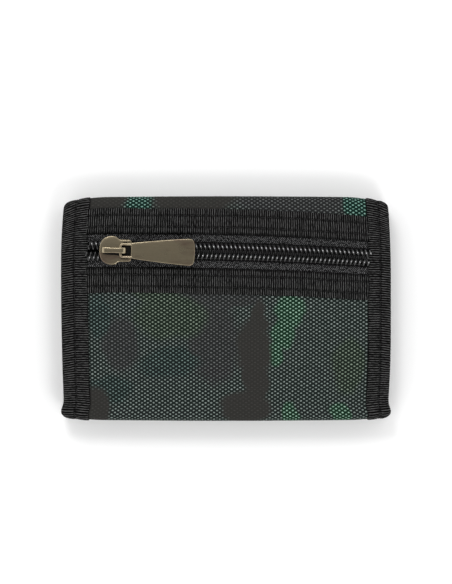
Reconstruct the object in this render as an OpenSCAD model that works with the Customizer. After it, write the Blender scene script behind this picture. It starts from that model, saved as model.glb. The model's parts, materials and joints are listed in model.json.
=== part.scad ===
// Trifold fabric wallet with an outside zip coin pocket, lying closed on its outer flap.
// Frame: X across the wallet, Y from the inner fold to the outer fold, Z up through the folded stack.
// The back panel, with the zip, is on top. The inner flap is folded under it at -Y, and the outer flap
// is folded under both at +Y. The origin is the middle of the base. Millimetres.

/* [Wallet] */
// Width across the folds, over the binding
wallet_w = 125; // [110:1:140]
// Height of the closed wallet, fold to fold
wallet_h = 85; // [80:1:100]
// How far each side curves in by the folds
barrel = 1.3; // [0:0.1:3]
// Outer radius of the bound folds
fold_r = 3.65; // [3.3:0.05:4]
// Length of the inner flap, from its fold to its free end
inner_flap_len = 47.5; // [40:0.5:47.5]

/* [Fabric] */
// Thickness of the outer shell fabric
shell_t = 0.6; // [0.5:0.05:0.7]
// Thickness of the lining and of each card pocket
lining_t = 0.35; // [0.25:0.05:0.4]
// Thickness of the foam in the outer flap
outer_foam_t = 0.8; // [0.5:0.1:1.2]
// Thickness of the foam in the inner flap
inner_foam_t = 0.6; // [0.4:0.1:0.8]
// Free height of the banknote compartment
bill_gap = 1.2; // [1.2:0.1:1.6]
// Free height of the coin pocket
coin_gap = 2.2; // [2.1:0.1:4]

/* [Binding] */
// Thickness of the binding and band tape
tape_t = 0.45; // [0.3:0.05:0.45]
// Visible width of the left binding
left_leg = 10; // [8:0.5:11]
// Visible width of the right binding
right_leg = 8.5; // [8:0.5:11]
// Visible width of the binding on the flaps' free ends
end_leg = 8; // [6:0.5:9]

/* [Zip] */
// Height of the zip's centre line at the closed slider, from the wallet's middle
zip_y = 21.9; // [18:0.1:22]
// Fall of the zip line towards the right, in degrees
zip_tilt = 1.5; // [0:0.1:2]
// Distance between teeth on one side of the coil
coil_pitch = 1.65; // [1.5:0.05:1.8]
// Half the width of the closed coil
coil_half_w = 3.2; // [3:0.1:3.2]
// Height of the coil above its tape
coil_h = 1.8; // [1.6:0.1:2]
// Distance from the zip's centre line to each band
band_inner = 6.5; // [6:0.1:7]
// Width of each band
band_w = 9.5; // [8:0.1:9.5]

/* [Slider and pull] */
// Middle of the closed slider, along the width
slider_x = -42; // [-43:0.5:-38]
// Radius of the slider's round end
slider_r = 5.3; // [5:0.1:5.5]
// Thickness of the pull tab
tab_t = 1.1; // [0.9:0.05:1.2]
// Width of the pull tab at its free end
tab_end_w = 10; // [8:0.5:11]
// Reach of the pull tab, from its pivot to its free end
tab_len = 27.8; // [22:0.2:30]

/* [Pockets and closure] */
// Step between the mouths of the three card pockets
card_step = 10; // [8:1:12]
// Width of the hook and loop patches
patch_w = 70; // [40:5:90]
// Length of the hook patch
hook_len = 12; // [8:1:12]

/* [Hidden] */
$fn = 48;

half_w = wallet_w / 2;
half_h = wallet_h / 2;
eps = 0.01;

// Clearances
fold_gap = 0.6;         // between a panel's layers and the fold beside it
hook_loop_gap = 0.15;   // between the closed patches
flap_gap = 0.35;        // between the inner flap and the back panel
panel_y = half_h - fold_r - fold_gap;   // where the back panel's layers stop

// Outer flap, from the base up
outer_shell_z = tape_t;
outer_foam_z = outer_shell_z + shell_t;
outer_foam_top = outer_foam_z + outer_foam_t;
outer_lining_z = outer_foam_top + bill_gap;
outer_face_z = outer_lining_z + lining_t;
outer_top = outer_face_z + tape_t;
outer_end_y = -half_h;

// Closure patches
hook_t = 1.0;
loop_t = 0.7;
hook_top = outer_face_z + hook_t;
patch_margin = 0.5;     // from the end binding to the hook patch
hook_y = outer_end_y + end_leg + patch_margin;
loop_margin = 2;        // how much longer the loop patch is than the hook patch

// Inner flap, above the outer flap
inner_shell_z = hook_top + hook_loop_gap + loop_t;
inner_bottom = inner_shell_z - tape_t;
inner_foam_z = inner_shell_z + shell_t;
inner_lining_z = inner_foam_z + inner_foam_t;
inner_pocket_z = inner_lining_z + lining_t;
inner_face_z = inner_pocket_z + lining_t;
inner_top = inner_face_z + tape_t;
inner_end_y = -half_h + inner_flap_len;

// Back panel, above the inner flap
back_bottom = inner_top + flap_gap;
pocket_1_z = back_bottom + tape_t;
pocket_2_z = pocket_1_z + lining_t;
pocket_3_z = pocket_2_z + lining_t;
back_lining_z = pocket_3_z + lining_t;
back_lining_top = back_lining_z + lining_t;
coin_back_z = back_lining_top + bill_gap;
coin_back_top = coin_back_z + lining_t;
back_shell_z = coin_back_top + coin_gap;
back_face_z = back_shell_z + shell_t;
back_top = back_face_z + tape_t;

// Card pockets
pocket_mouth_y = 10;    // mouth of the front card pocket
trim_w = 5;
trim_t = 0.3;
trim_half_w = 52;
inner_mouth_y = -8;

// Identity window, on the outer flap's inner face
window_y0 = -21;
window_y1 = 37;
window_half_w = 50;
window_border = 6.5;
film_t = 0.2;

// Zip
zip_tape_t = 0.45;
shell_edge_v = 11;      // where the shell meets the zip tape, under the band
tape_slot = 0.6;        // half the gap between the two tapes
tooth_tip_v = 0.5;      // half the gap between the two rows of teeth
tooth_root_v = 1.9;
tooth_w = 0.9;
tooth_margin = 0.3;     // from the end of a row to its first tooth
coil_u0 = -half_w + left_leg + 1.2 - slider_x;
coil_u1 = half_w - right_leg - 1.8 - slider_x;

// Slider
wing_t = 1.0;
wing_under_gap = 0.35;
wing_over_gap = 0.3;
lower_wing_z = back_face_z - zip_tape_t - wing_under_gap - wing_t;
upper_wing_z = back_face_z + coil_h + wing_over_gap;
upper_wing_t = 1.1;
wing_top = upper_wing_z + upper_wing_t;
round_u = -0.9;         // centre of the slider's round end
tail_u = 6.5;
tail_half_w = 4;
tail_chamfer = 1.1;
rail_t = 0.5;
rail_drop_gap = 0.4;
post_u = -4.2;
post_len = 1.6;
post_w = 0.7;

// Bail and pull tab
bail_u0 = -5;
bail_u1 = 4.6;
bail_leg = 1.1;
bail_bar = 0.7;
bail_h = 2.2;
bail_w = 2;
bail_corner_r = 0.7;
pivot_u = 2.6;
pivot_z = wing_top + 0.7;
pivot_r = 0.5;
eye_half_w = 2.8;
eye_hole_half_w = 1.35;
eye_hole_u = 7;
tab_corner_r = 1.6;
neck_u = 7.6;

// Half the width of the wallet at a height y.
function edge_x(y) = half_w - barrel * pow(y / panel_y, 2);

// Plan outline of a panel, with its left and right sides moved in.
module outline(left_inset, right_inset) {
    ys = [for (i = [-9 : 9]) i * half_h / 8.5];
    polygon(concat(
        [for (y = ys) [edge_x(y) - right_inset, y]],
        [for (i = [len(ys) - 1 : -1 : 0]) [left_inset - edge_x(ys[i]), ys[i]]]));
}

// Everything between two heights y.
module y_range(y0, y1) {
    translate([-half_w - 1, y0, -1]) cube([wallet_w + 2, y1 - y0, back_top + 2]);
}

// A flat sheet of a panel, z0 to z0 + t.
module sheet(z0, t, y0, y1, left_inset = tape_t, right_inset = tape_t) {
    intersection() {
        translate([0, 0, z0]) linear_extrude(t) outline(left_inset, right_inset);
        y_range(y0, y1);
    }
}

// A binding folded over one side of a panel: side is -1 for left and 1 for right.
module side_binding(side, leg, y0, y1, z0, z1) {
    difference() {
        intersection() {
            sheet(z0, z1 - z0, y0, y1, 0, 0);
            translate([side > 0 ? 0 : -wallet_w, -wallet_h, 0]) cube([wallet_w, 2 * wallet_h, back_top + 1]);
        }
        translate([0, 0, z0 - 1]) linear_extrude(z1 - z0 + 2)
            outline(side > 0 ? -2 : leg, side > 0 ? leg : -2);
        translate([0, 0, z0 + tape_t]) linear_extrude(z1 - z0 - 2 * tape_t)
            outline(side > 0 ? -2 : tape_t, side > 0 ? tape_t : -2);
    }
}

// A binding folded over the free end of a flap, between the side bindings.
// toward is 1 where the panel lies at higher y than its end, and -1 where it lies lower.
module end_binding(end_y, toward, z0, z1) {
    lo = toward > 0 ? end_y : end_y - end_leg;
    difference() {
        sheet(z0, z1 - z0, lo, lo + end_leg, left_leg, right_leg);
        translate([-half_w, toward > 0 ? end_y + tape_t : end_y - tape_t - wallet_h, z0 + tape_t])
            cube([wallet_w, wallet_h, z1 - z0 - 2 * tape_t]);
    }
}

// Cross-section of a fold, in plan y and z, solid inwards from its outer face moved in by inset.
module fold_section(z_lo, z_hi, inset) {
    r = fold_r - inset;
    y_in = half_h - fold_r;
    for (z = [z_lo + fold_r, z_hi - fold_r]) translate([y_in, z]) circle(r);
    translate([y_in, z_lo + fold_r]) square([r, z_hi - z_lo - 2 * fold_r]);
    translate([y_in - 2 * fold_r, z_lo + inset]) square([2 * fold_r, z_hi - z_lo - 2 * inset]);
}

// One layer of a fold: between two insets from its outer face, over x0 to x1. side is 1 at +Y.
module fold_layer(side, z_lo, z_hi, inset_0, inset_1, x0, x1) {
    mirror([0, side > 0 ? 0 : 1, 0])
        translate([x0, 0, 0]) rotate([90, 0, 90]) linear_extrude(x1 - x0) intersection() {
            difference() {
                fold_section(z_lo, z_hi, inset_0);
                fold_section(z_lo, z_hi, inset_1);
            }
            translate([half_h - fold_r, z_lo - 1]) square([fold_r + 1, z_hi - z_lo + 2]);
        }
}

// A binding around a fold's edge: two legs and the edge between them.
module fold_binding(side, z_lo, z_hi, inset_0, inset_1, x_side, leg) {
    x_edge = edge_x(panel_y);
    x0 = x_side > 0 ? x_edge - leg : -x_edge;
    fold_layer(side, z_lo, z_hi, inset_0, inset_0 + tape_t, x0, x0 + leg);
    fold_layer(side, z_lo, z_hi, inset_1 - tape_t, inset_1, x0, x0 + leg);
    x_cap = x_side > 0 ? x_edge - tape_t : -x_edge;
    fold_layer(side, z_lo, z_hi, inset_0, inset_1, x_cap, x_cap + tape_t);
}

// Places children in the zip's own frame: x along the zip from the closed slider, y across it.
module on_zip() {
    translate([slider_x, zip_y, 0]) rotate([0, 0, -zip_tilt]) children();
}

// Everything between two distances across the zip. side is 1 above it and -1 below it.
module zip_strip(side, v0, v1) {
    on_zip() translate([-wallet_w, side > 0 ? v0 : -v1, -1]) cube([3 * wallet_w, v1 - v0, back_top + 5]);
}

// ---- Back panel ----

module back_shell(side) {
    color("#333b37") intersection() {
        sheet(back_shell_z, shell_t, -panel_y, panel_y);
        zip_strip(side, shell_edge_v, wallet_h);
    }
}

module zip_tape(side) {
    color("#38383a") intersection() {
        sheet(back_face_z - zip_tape_t, zip_tape_t, -panel_y, panel_y);
        zip_strip(side, tape_slot, shell_edge_v);
    }
}

module zip_band(side) {
    color("#262626") intersection() {
        sheet(back_face_z, tape_t, -panel_y, panel_y, left_leg, right_leg);
        zip_strip(side, band_inner, band_inner + band_w);
    }
}

// One row of zip teeth, as a comb standing on its tape.
module zip_coil(side) {
    teeth = floor((coil_u1 - coil_u0 - 2 * tooth_margin) / coil_pitch);
    starts = [for (i = [0 : teeth - 1]) coil_u0 + tooth_margin + coil_pitch * i];
    comb = concat(
        [[coil_u0, coil_half_w], [coil_u0, tooth_root_v]],
        [for (u = starts, p = [[0, tooth_root_v], [0, tooth_tip_v], [tooth_w, tooth_tip_v], [tooth_w, tooth_root_v]])
            [u + p[0], p[1]]],
        [[coil_u1, tooth_root_v], [coil_u1, coil_half_w]]);
    color("#1c1c1e") on_zip() mirror([0, side > 0 ? 0 : 1, 0])
        translate([0, 0, back_face_z]) linear_extrude(coil_h) polygon(comb);
}

module coin_pocket_back() {
    color("#2a2c2b") sheet(coin_back_z, lining_t, -panel_y, panel_y);
}

module back_lining() {
    color("#2a2c2b") sheet(back_lining_z, lining_t, -panel_y, panel_y);
}

// Card pocket i, from 1 at the front to 3 against the lining.
module card_pocket(i) {
    color("#303232") sheet(pocket_1_z + lining_t * (i - 1), lining_t,
        -panel_y, pocket_mouth_y + card_step * (i - 1));
}

module card_trim(i) {
    color("#262626")
        translate([-trim_half_w, pocket_mouth_y + card_step * (i - 1) - trim_w,
            pocket_1_z + lining_t * (i - 1) - trim_t])
            cube([2 * trim_half_w, trim_w, trim_t]);
}

module back_binding_left() {
    color("#262626") side_binding(-1, left_leg, -panel_y, panel_y, back_bottom, back_top);
}

// The right edge is open between its two bindings: banknotes go in there.
module back_binding_right_outer() {
    color("#262626") side_binding(1, right_leg, -panel_y, panel_y, coin_back_z - tape_t, back_top);
}

module back_binding_right_inner() {
    color("#262626") side_binding(1, right_leg, -panel_y, panel_y, back_bottom, back_lining_top + tape_t);
}

// ---- Outer fold ----

fold_x = edge_x(panel_y) - tape_t;
outer_lining_inset = tape_t + shell_t + bill_gap;

module outer_fold_shell() {
    color("#333b37") fold_layer(1, 0, back_top, tape_t, tape_t + shell_t, -fold_x, fold_x);
}

module outer_fold_lining() {
    color("#2a2c2b") fold_layer(1, 0, back_top, outer_lining_inset, outer_lining_inset + lining_t,
        -fold_x, fold_x);
}

module outer_fold_binding_left() {
    color("#262626") fold_binding(1, 0, back_top, 0, outer_lining_inset + lining_t + tape_t, -1, left_leg);
}

module outer_fold_binding_right_outer() {
    color("#262626") fold_binding(1, 0, back_top, 0, 2 * tape_t + shell_t, 1, right_leg);
}

module outer_fold_binding_right_inner() {
    color("#262626") fold_binding(1, 0, back_top, outer_lining_inset - tape_t,
        outer_lining_inset + lining_t + tape_t, 1, right_leg);
}

// ---- Outer flap ----

module outer_flap_sheet(z0, t) {
    sheet(z0, t, outer_end_y + tape_t, panel_y);
}

module outer_flap_shell() {
    color("#333b37") outer_flap_sheet(outer_shell_z, shell_t);
}

module outer_flap_foam() {
    color("#8a8a86") outer_flap_sheet(outer_foam_z, outer_foam_t);
}

module outer_flap_lining() {
    color("#2a2c2b") outer_flap_sheet(outer_lining_z, lining_t);
}

module id_window_film() {
    color("#c8d2d6") translate([-window_half_w, window_y0, outer_face_z])
        cube([2 * window_half_w, window_y1 - window_y0, film_t]);
}

module id_window_frame() {
    color("#262626") translate([0, 0, outer_face_z + film_t]) linear_extrude(tape_t - film_t)
        difference() {
            translate([-window_half_w, window_y0])
                square([2 * window_half_w, window_y1 - window_y0]);
            translate([window_border - window_half_w, window_y0 + window_border])
                square([2 * (window_half_w - window_border), window_y1 - window_y0 - 2 * window_border]);
        }
}

module hook_patch() {
    color("#1b1b1b") translate([-patch_w / 2, hook_y, outer_face_z]) cube([patch_w, hook_len, hook_t]);
}

module outer_flap_binding_left() {
    color("#262626") side_binding(-1, left_leg, outer_end_y, panel_y, 0, outer_top);
}

module outer_flap_binding_right_outer() {
    color("#262626") side_binding(1, right_leg, outer_end_y, panel_y, 0, outer_foam_top + tape_t);
}

module outer_flap_binding_right_inner() {
    color("#262626") side_binding(1, right_leg, outer_end_y, panel_y, outer_lining_z - tape_t, outer_top);
}

module outer_flap_binding_end() {
    color("#262626") end_binding(outer_end_y, 1, 0, outer_top);
}

// ---- Inner fold ----

inner_lining_inset = tape_t + shell_t + inner_foam_t;

module inner_fold_shell() {
    color("#333b37") fold_layer(-1, inner_bottom, back_top, tape_t, tape_t + shell_t, -fold_x, fold_x);
}

module inner_fold_lining() {
    color("#2a2c2b") fold_layer(-1, inner_bottom, back_top, inner_lining_inset,
        inner_lining_inset + lining_t, -fold_x, fold_x);
}

module inner_fold_binding(x_side, leg) {
    color("#262626") fold_binding(-1, inner_bottom, back_top, 0,
        inner_lining_inset + lining_t + tape_t, x_side, leg);
}

// ---- Inner flap ----

module inner_flap_sheet(z0, t) {
    sheet(z0, t, -panel_y, inner_end_y - tape_t);
}

module inner_flap_shell() {
    color("#333b37") inner_flap_sheet(inner_shell_z, shell_t);
}

module inner_flap_foam() {
    color("#8a8a86") inner_flap_sheet(inner_foam_z, inner_foam_t);
}

module inner_flap_lining() {
    color("#2a2c2b") inner_flap_sheet(inner_lining_z, lining_t);
}

module inner_card_pocket() {
    color("#303232") sheet(inner_pocket_z, lining_t, -panel_y, inner_mouth_y);
}

module inner_card_trim() {
    color("#262626") translate([-trim_half_w, inner_mouth_y - trim_w, inner_face_z])
        cube([2 * trim_half_w, trim_w, trim_t]);
}

module loop_patch() {
    color("#242424") translate([-patch_w / 2, hook_y, inner_shell_z - loop_t])
        cube([patch_w, hook_len + loop_margin, loop_t]);
}

module inner_flap_binding_left() {
    color("#262626") side_binding(-1, left_leg, -panel_y, inner_end_y, inner_bottom, inner_top);
}

module inner_flap_binding_right() {
    color("#262626") side_binding(1, right_leg, -panel_y, inner_end_y, inner_bottom, inner_top);
}

module inner_flap_binding_end() {
    color("#262626") end_binding(inner_end_y, -1, inner_bottom, inner_top);
}

// ---- Slider and pull ----

// Plan outline of the slider's wings: a round front and a narrower tail.
module wing_outline() {
    translate([round_u, 0]) circle(slider_r);
    polygon([
        [0, -tail_half_w], [tail_u - tail_chamfer, -tail_half_w], [tail_u, -tail_half_w + tail_chamfer],
        [tail_u, tail_half_w - tail_chamfer], [tail_u - tail_chamfer, tail_half_w], [0, tail_half_w]]);
}

module slider_body() {
    color("#66604c") on_zip() {
        translate([0, 0, lower_wing_z]) linear_extrude(wing_t) wing_outline();
        translate([0, 0, upper_wing_z]) linear_extrude(upper_wing_t) wing_outline();
        translate([post_u, -post_w / 2, lower_wing_z + eps]) cube([post_len, post_w, upper_wing_z - lower_wing_z]);
        for (side = [-1, 1])
            translate([0, side * (tail_half_w - rail_t / 2) - rail_t / 2, back_face_z + rail_drop_gap])
                cube([tail_u - tail_chamfer, rail_t, upper_wing_z - back_face_z - rail_drop_gap + eps]);
    }
}

// The bridge over the slider that holds the pull tab's eye.
module slider_bail() {
    color("#7a7258") on_zip()
        translate([0, bail_w / 2, wing_top]) rotate([90, 0, 0]) linear_extrude(bail_w) difference() {
            union() {
                translate([bail_u0, 0]) square([bail_u1 - bail_u0, bail_h - bail_corner_r]);
                translate([bail_u0 + bail_corner_r, 0])
                    square([bail_u1 - bail_u0 - 2 * bail_corner_r, bail_h]);
                for (u = [bail_u0 + bail_corner_r, bail_u1 - bail_corner_r])
                    translate([u, bail_h - bail_corner_r]) circle(bail_corner_r);
            }
            translate([bail_u0 + bail_leg, -1])
                square([bail_u1 - bail_u0 - 2 * bail_leg, bail_h - bail_bar + 1]);
        }
}

// A flat tapered tab with a rectangular eye, whose cross bar turns under the bail.
module pull_tab() {
    end_u = pivot_u + tab_len;
    color("#645d49") on_zip() {
        translate([pivot_u, 0, pivot_z]) rotate([90, 0, 0])
            cylinder(h = 2 * eye_half_w, r = pivot_r, center = true);
        translate([0, 0, pivot_z - tab_t / 2]) linear_extrude(tab_t) difference() {
            union() {
                translate([pivot_u, -eye_half_w]) square([neck_u - pivot_u, 2 * eye_half_w]);
                polygon([
                    [neck_u, -eye_half_w], [end_u - tab_corner_r, -tab_end_w / 2],
                    [end_u - tab_corner_r, tab_end_w / 2], [neck_u, eye_half_w]]);
                translate([end_u - 2 * tab_corner_r, tab_corner_r - tab_end_w / 2])
                    square([2 * tab_corner_r, tab_end_w - 2 * tab_corner_r]);
                for (side = [-1, 1])
                    translate([end_u - tab_corner_r, side * (tab_end_w / 2 - tab_corner_r)])
                        circle(tab_corner_r);
            }
            translate([pivot_u, -eye_hole_half_w]) square([eye_hole_u - pivot_u, 2 * eye_hole_half_w]);
        }
    }
}

back_shell(1);  // back_shell_upper
back_shell(-1);  // back_shell_lower
zip_tape(1);  // zip_tape_upper
zip_tape(-1);  // zip_tape_lower
zip_coil(1);  // zip_coil_upper
zip_coil(-1);  // zip_coil_lower
zip_band(1);  // zip_band_upper
zip_band(-1);  // zip_band_lower
coin_pocket_back();
back_lining();
card_pocket(1);  // card_pocket_1
card_pocket(2);  // card_pocket_2
card_pocket(3);  // card_pocket_3
card_trim(1);  // card_trim_1
card_trim(2);  // card_trim_2
card_trim(3);  // card_trim_3
back_binding_left();
back_binding_right_outer();
back_binding_right_inner();
outer_fold_shell();
outer_fold_lining();
outer_fold_binding_left();
outer_fold_binding_right_outer();
outer_fold_binding_right_inner();
outer_flap_shell();
outer_flap_foam();
outer_flap_lining();
id_window_film();
id_window_frame();
hook_patch();
outer_flap_binding_left();
outer_flap_binding_right_outer();
outer_flap_binding_right_inner();
outer_flap_binding_end();
inner_fold_shell();
inner_fold_lining();
inner_fold_binding(-1, left_leg);  // inner_fold_binding_left
inner_fold_binding(1, right_leg);  // inner_fold_binding_right
inner_flap_shell();
inner_flap_foam();
inner_flap_lining();
inner_card_pocket();
inner_card_trim();
loop_patch();
inner_flap_binding_left();
inner_flap_binding_right();
inner_flap_binding_end();
slider_body();
slider_bail();
pull_tab();
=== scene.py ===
"""The looks of a closed trifold fabric wallet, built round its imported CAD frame.

Lengths are in millimetres until mesh() turns them into metres. Most fabric is swept along the shell's
section: x runs across the wallet, and v runs along the shell, where v is y on the back panel and goes on
round the outer fold (v > 0) and the inner fold (v < 0) to the ends of the two flaps.
"""

import json
import math

import bpy
import numpy as np
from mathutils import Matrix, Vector


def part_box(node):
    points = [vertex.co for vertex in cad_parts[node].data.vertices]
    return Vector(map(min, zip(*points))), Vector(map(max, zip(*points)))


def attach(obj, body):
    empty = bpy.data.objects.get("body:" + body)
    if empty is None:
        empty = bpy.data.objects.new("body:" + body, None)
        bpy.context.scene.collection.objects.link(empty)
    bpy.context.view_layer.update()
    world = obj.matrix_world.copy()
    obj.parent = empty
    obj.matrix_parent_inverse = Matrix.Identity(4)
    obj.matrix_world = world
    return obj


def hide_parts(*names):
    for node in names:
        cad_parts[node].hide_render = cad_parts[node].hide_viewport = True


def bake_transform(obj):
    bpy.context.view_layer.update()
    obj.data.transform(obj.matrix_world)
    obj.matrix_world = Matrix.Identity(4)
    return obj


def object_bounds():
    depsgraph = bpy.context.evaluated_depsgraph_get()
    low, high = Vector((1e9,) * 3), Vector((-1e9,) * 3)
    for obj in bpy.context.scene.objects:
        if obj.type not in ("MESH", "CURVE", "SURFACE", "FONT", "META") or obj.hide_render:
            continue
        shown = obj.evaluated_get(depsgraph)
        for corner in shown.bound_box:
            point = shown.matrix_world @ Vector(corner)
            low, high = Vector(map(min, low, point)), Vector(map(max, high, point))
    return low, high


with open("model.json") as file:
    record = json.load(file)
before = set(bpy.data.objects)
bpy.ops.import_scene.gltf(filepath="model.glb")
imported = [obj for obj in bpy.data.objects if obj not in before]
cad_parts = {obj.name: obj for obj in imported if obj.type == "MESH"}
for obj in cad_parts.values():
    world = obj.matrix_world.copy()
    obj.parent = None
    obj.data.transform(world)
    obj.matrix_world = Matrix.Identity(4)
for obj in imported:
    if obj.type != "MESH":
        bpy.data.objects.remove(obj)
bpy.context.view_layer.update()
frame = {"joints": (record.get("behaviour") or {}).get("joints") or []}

MM = 0.001
X, Y, Z = 0, 1, 2
random = np.random.default_rng(11)


def span(node, axis):
    """The lowest and highest coordinate of a CAD node along an axis."""
    low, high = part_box(node)
    return low[axis] / MM, high[axis] / MM


JOINTS = {joint["name"]: joint for joint in frame["joints"]}

# ---- Sizes, from the frame ----

FACE_Z = span("back_shell_lower", Z)[1]
SHELL_T = FACE_Z - span("back_shell_lower", Z)[0]
FOLD_Y = span("outer_fold_shell", Y)[0]
FOLD_R = span("outer_fold_shell", Y)[1] - FOLD_Y
OUTER_FLAP_Z = span("outer_flap_shell", Z)[0]
OUTER_DROP = FACE_Z - OUTER_FLAP_Z - 2 * FOLD_R
INNER_DROP = FACE_Z - span("inner_flap_shell", Z)[0] - 2 * FOLD_R
QUARTER = FOLD_R * math.pi / 2
LINING_T = span("back_lining", Z)[1] - span("back_lining", Z)[0]
HALF_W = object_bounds()[1][X] / MM

OUTER_MID_V = FOLD_Y + QUARTER + OUTER_DROP / 2
INNER_MID_V = -(FOLD_Y + QUARTER + INNER_DROP / 2)
OUTER_FLAP_V = FOLD_Y + 2 * QUARTER + OUTER_DROP
INNER_FLAP_V = -(FOLD_Y + 2 * QUARTER + INNER_DROP)


def outer_flap_v(y):
    """v of a place on the outer flap, from its y in the closed wallet."""
    return OUTER_FLAP_V + FOLD_Y - y


def inner_flap_v(y):
    """v of a place on the inner flap, from its y in the closed wallet."""
    return INNER_FLAP_V - FOLD_Y - y


OUTER_END_V = outer_flap_v(span("outer_flap_binding_end", Y)[0])
INNER_END_V = inner_flap_v(span("inner_flap_binding_end", Y)[1])

# ---- Sizes, from the photo and from what such a wallet is sewn of ----

LEFT_LEG = 10.1                     # how far each binding reaches in from its edge
RIGHT_LEG = 8.4
END_LEG = 8.0
LEFT_SEAM = 5.2                     # and where it is sewn down
RIGHT_SEAM = 4.1
END_SEAM = 4.0
FABRIC_HALF_W = HALF_W - 0.9        # where the layers stop, inside the side bindings
POCKET_T = 0.3

# Where the side bindings bulge, by the inner fold.
BULGE_Y = -40.8
BULGE_HALF_W = 2.8

# The zip's centre line sags a little from the slider towards the right.
ZIP_TOP_X = -36.0
ZIP_TOP_Y = 21.9
ZIP_SAG = 3.5e-4
BAND_INNER = 6.5
BAND_W = 9.5
BAND_SEAMS = {"inner": 2.6, "outer": 6.9}
COIL_PITCH = 1.65


def smooth(t):
    """0 below t = 0, 1 above t = 1, and a smooth step between."""
    t = np.clip(t, 0, 1)
    return t * t * (3 - 2 * t)


def mound(t):
    """1 at t = 0, falling smoothly to 0 at t = 1 and t = -1."""
    return np.clip(1 - np.square(t), 0, 1) ** 1.5


def mix(a, b, t):
    return a + (b - a) * t


def zip_line(x):
    return ZIP_TOP_Y - ZIP_SAG * np.square(x - ZIP_TOP_X)


# ---- The shell's section and the wallet's outline ----

def along_shell(v):
    """y, z and the outward normal of the shell's outer face at v."""
    side = np.where(v < 0, -1.0, 1.0)
    drop = np.where(v < 0, INNER_DROP, OUTER_DROP)
    s = np.abs(v) - FOLD_Y
    turn = np.clip(s / FOLD_R, 0, math.pi / 2) + np.clip((s - QUARTER - drop) / FOLD_R, 0, math.pi / 2)
    y = FOLD_Y + np.minimum(s, 0) + FOLD_R * np.sin(turn) - np.maximum(s - 2 * QUARTER - drop, 0)
    z = FACE_Z - FOLD_R * (1 - np.cos(turn)) - np.clip(s - QUARTER, 0, drop)
    return side * y, z, side * np.sin(turn), np.cos(turn)


def outline(x, y):
    """Moves a point of the straight-sided wallet to its real outline: sides that curve in towards the folds,
    bindings that bulge by the inner fold, and corners that are worn round."""
    left = 0.3 + 0.0017 * np.square(np.maximum(y - 17, 0)) + 0.0004 * np.square(np.maximum(15 - y, 0))
    right = 0.2 + 0.0011 * np.square(np.maximum(np.abs(y - 2) - 9, 0))
    bulge = np.exp(-np.square((y - BULGE_Y) / BULGE_HALF_W))
    inset = np.where(x < 0, left - 1.2 * bulge, right - 1.3 * bulge)
    corner = np.where(y > 0, 2.2, 1.2) * np.square(np.maximum(np.abs(x) - 46, 0) / 14.5)
    near_fold = smooth((np.abs(y) - 20) / 20)
    return x * (1 - inset / HALF_W), y - np.sign(y) * corner * near_fold


def crown(x, v):
    """How far padding, the coin pocket, slack in the cloth and the bulge of the folds lift the shell."""
    back = 0.75 * mound((v + 17) / 20) * mound(x / 54)
    slack = 0.16 * np.sin(x / 9 + v / 17 + 1) * np.sin(v / 8 - x / 31) * mound((v + 18) / 19)
    outer = 0.25 * mound((v - OUTER_FLAP_V - 38) / 40) * mound(x / 56)
    inner = 0.2 * mound((v - INNER_FLAP_V + 20) / 24) * mound(x / 56)
    drop = np.where(v < 0, INNER_DROP, OUTER_DROP)
    into_fold = np.abs(v) - FOLD_Y
    fold = 0.45 * smooth(into_fold / QUARTER) * smooth(2 + (drop - into_fold) / QUARTER) * mound(x / 66)
    return back + slack * mound(x / 54) + outer + inner + fold


def place(x, v, out):
    """The point that lies out above the shell's outer face, at x across and v along it."""
    y, z, normal_y, normal_z = along_shell(v)
    out = out + crown(x, v)
    x, y = outline(x, y + normal_y * out)
    z = z + normal_z * out
    return np.stack(np.broadcast_arrays(x, y, z), -1)


def on_zip(along, across, out):
    """The point at a distance across the zip's centre line, out above the shell's face."""
    return place(along, zip_line(along) + across, out)


# ---- Meshes ----

def mesh(name, points, faces, uv=None, smooth_shaded=True):
    """A mesh object from points in millimetres, faces and each point's uv. Points that would sink into the
    table are pressed flat on it."""
    points = np.array(points, float).reshape(-1, 3)
    points[:, Z] = np.maximum(points[:, Z], 0)
    data = bpy.data.meshes.new(name)
    data.from_pydata((points * MM).tolist(), [], faces)
    if uv is not None:
        corner_points = np.zeros(len(data.loops), np.int32)
        data.loops.foreach_get("vertex_index", corner_points)
        layer = data.uv_layers.new(name="cloth")
        layer.data.foreach_set("uv", np.asarray(uv, np.float32).reshape(-1, 2)[corner_points].ravel())
    data.polygons.foreach_set("use_smooth", [smooth_shaded] * len(data.polygons))
    piece = bpy.data.objects.new(name, data)
    bpy.context.scene.collection.objects.link(piece)
    return piece


def grid_faces(rows, columns, first=0):
    """Quads over a grid of points, starting at the point numbered first, where each row is a loop."""
    row, column = np.meshgrid(np.arange(rows - 1), np.arange(columns), indexing="ij")
    right = (column + 1) % columns
    quads = np.stack([row * columns + column, row * columns + right,
                      (row + 1) * columns + right, (row + 1) * columns + column], -1)
    return (quads.reshape(-1, 4) + first).tolist()


def solid_faces(rows, columns, first=0):
    """The same with the first and the last loop filled."""
    start = list(range(first, first + columns))
    end = [i + (rows - 1) * columns for i in start]
    return grid_faces(rows, columns, first) + [start[::-1], end]


def swept(name, points, uv=None):
    """A closed solid through rows of points, each row a loop."""
    rows, columns = points.shape[:2]
    return mesh(name, points, solid_faces(rows, columns), uv)


def between(name, outer, inner, uv, flipped=False):
    """A closed solid between a sheet's two faces, flipped where the outer face would come out inside."""
    points = np.concatenate([outer, inner[:, ::-1]], 1)
    if flipped:
        points = points[:, ::-1]
    return swept(name, points, np.concatenate([uv, uv[:, ::-1]], 1))


def rounded(points, times=3):
    """A closed outline with its corners cut again and again, so that it runs smoothly."""
    points = np.array(points, float)
    for _ in range(times):
        ahead = np.roll(points, -1, axis=0)
        points = np.stack([mix(points, ahead, 0.25), mix(points, ahead, 0.75)], 1).reshape(-1, 2)
    return points


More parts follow.
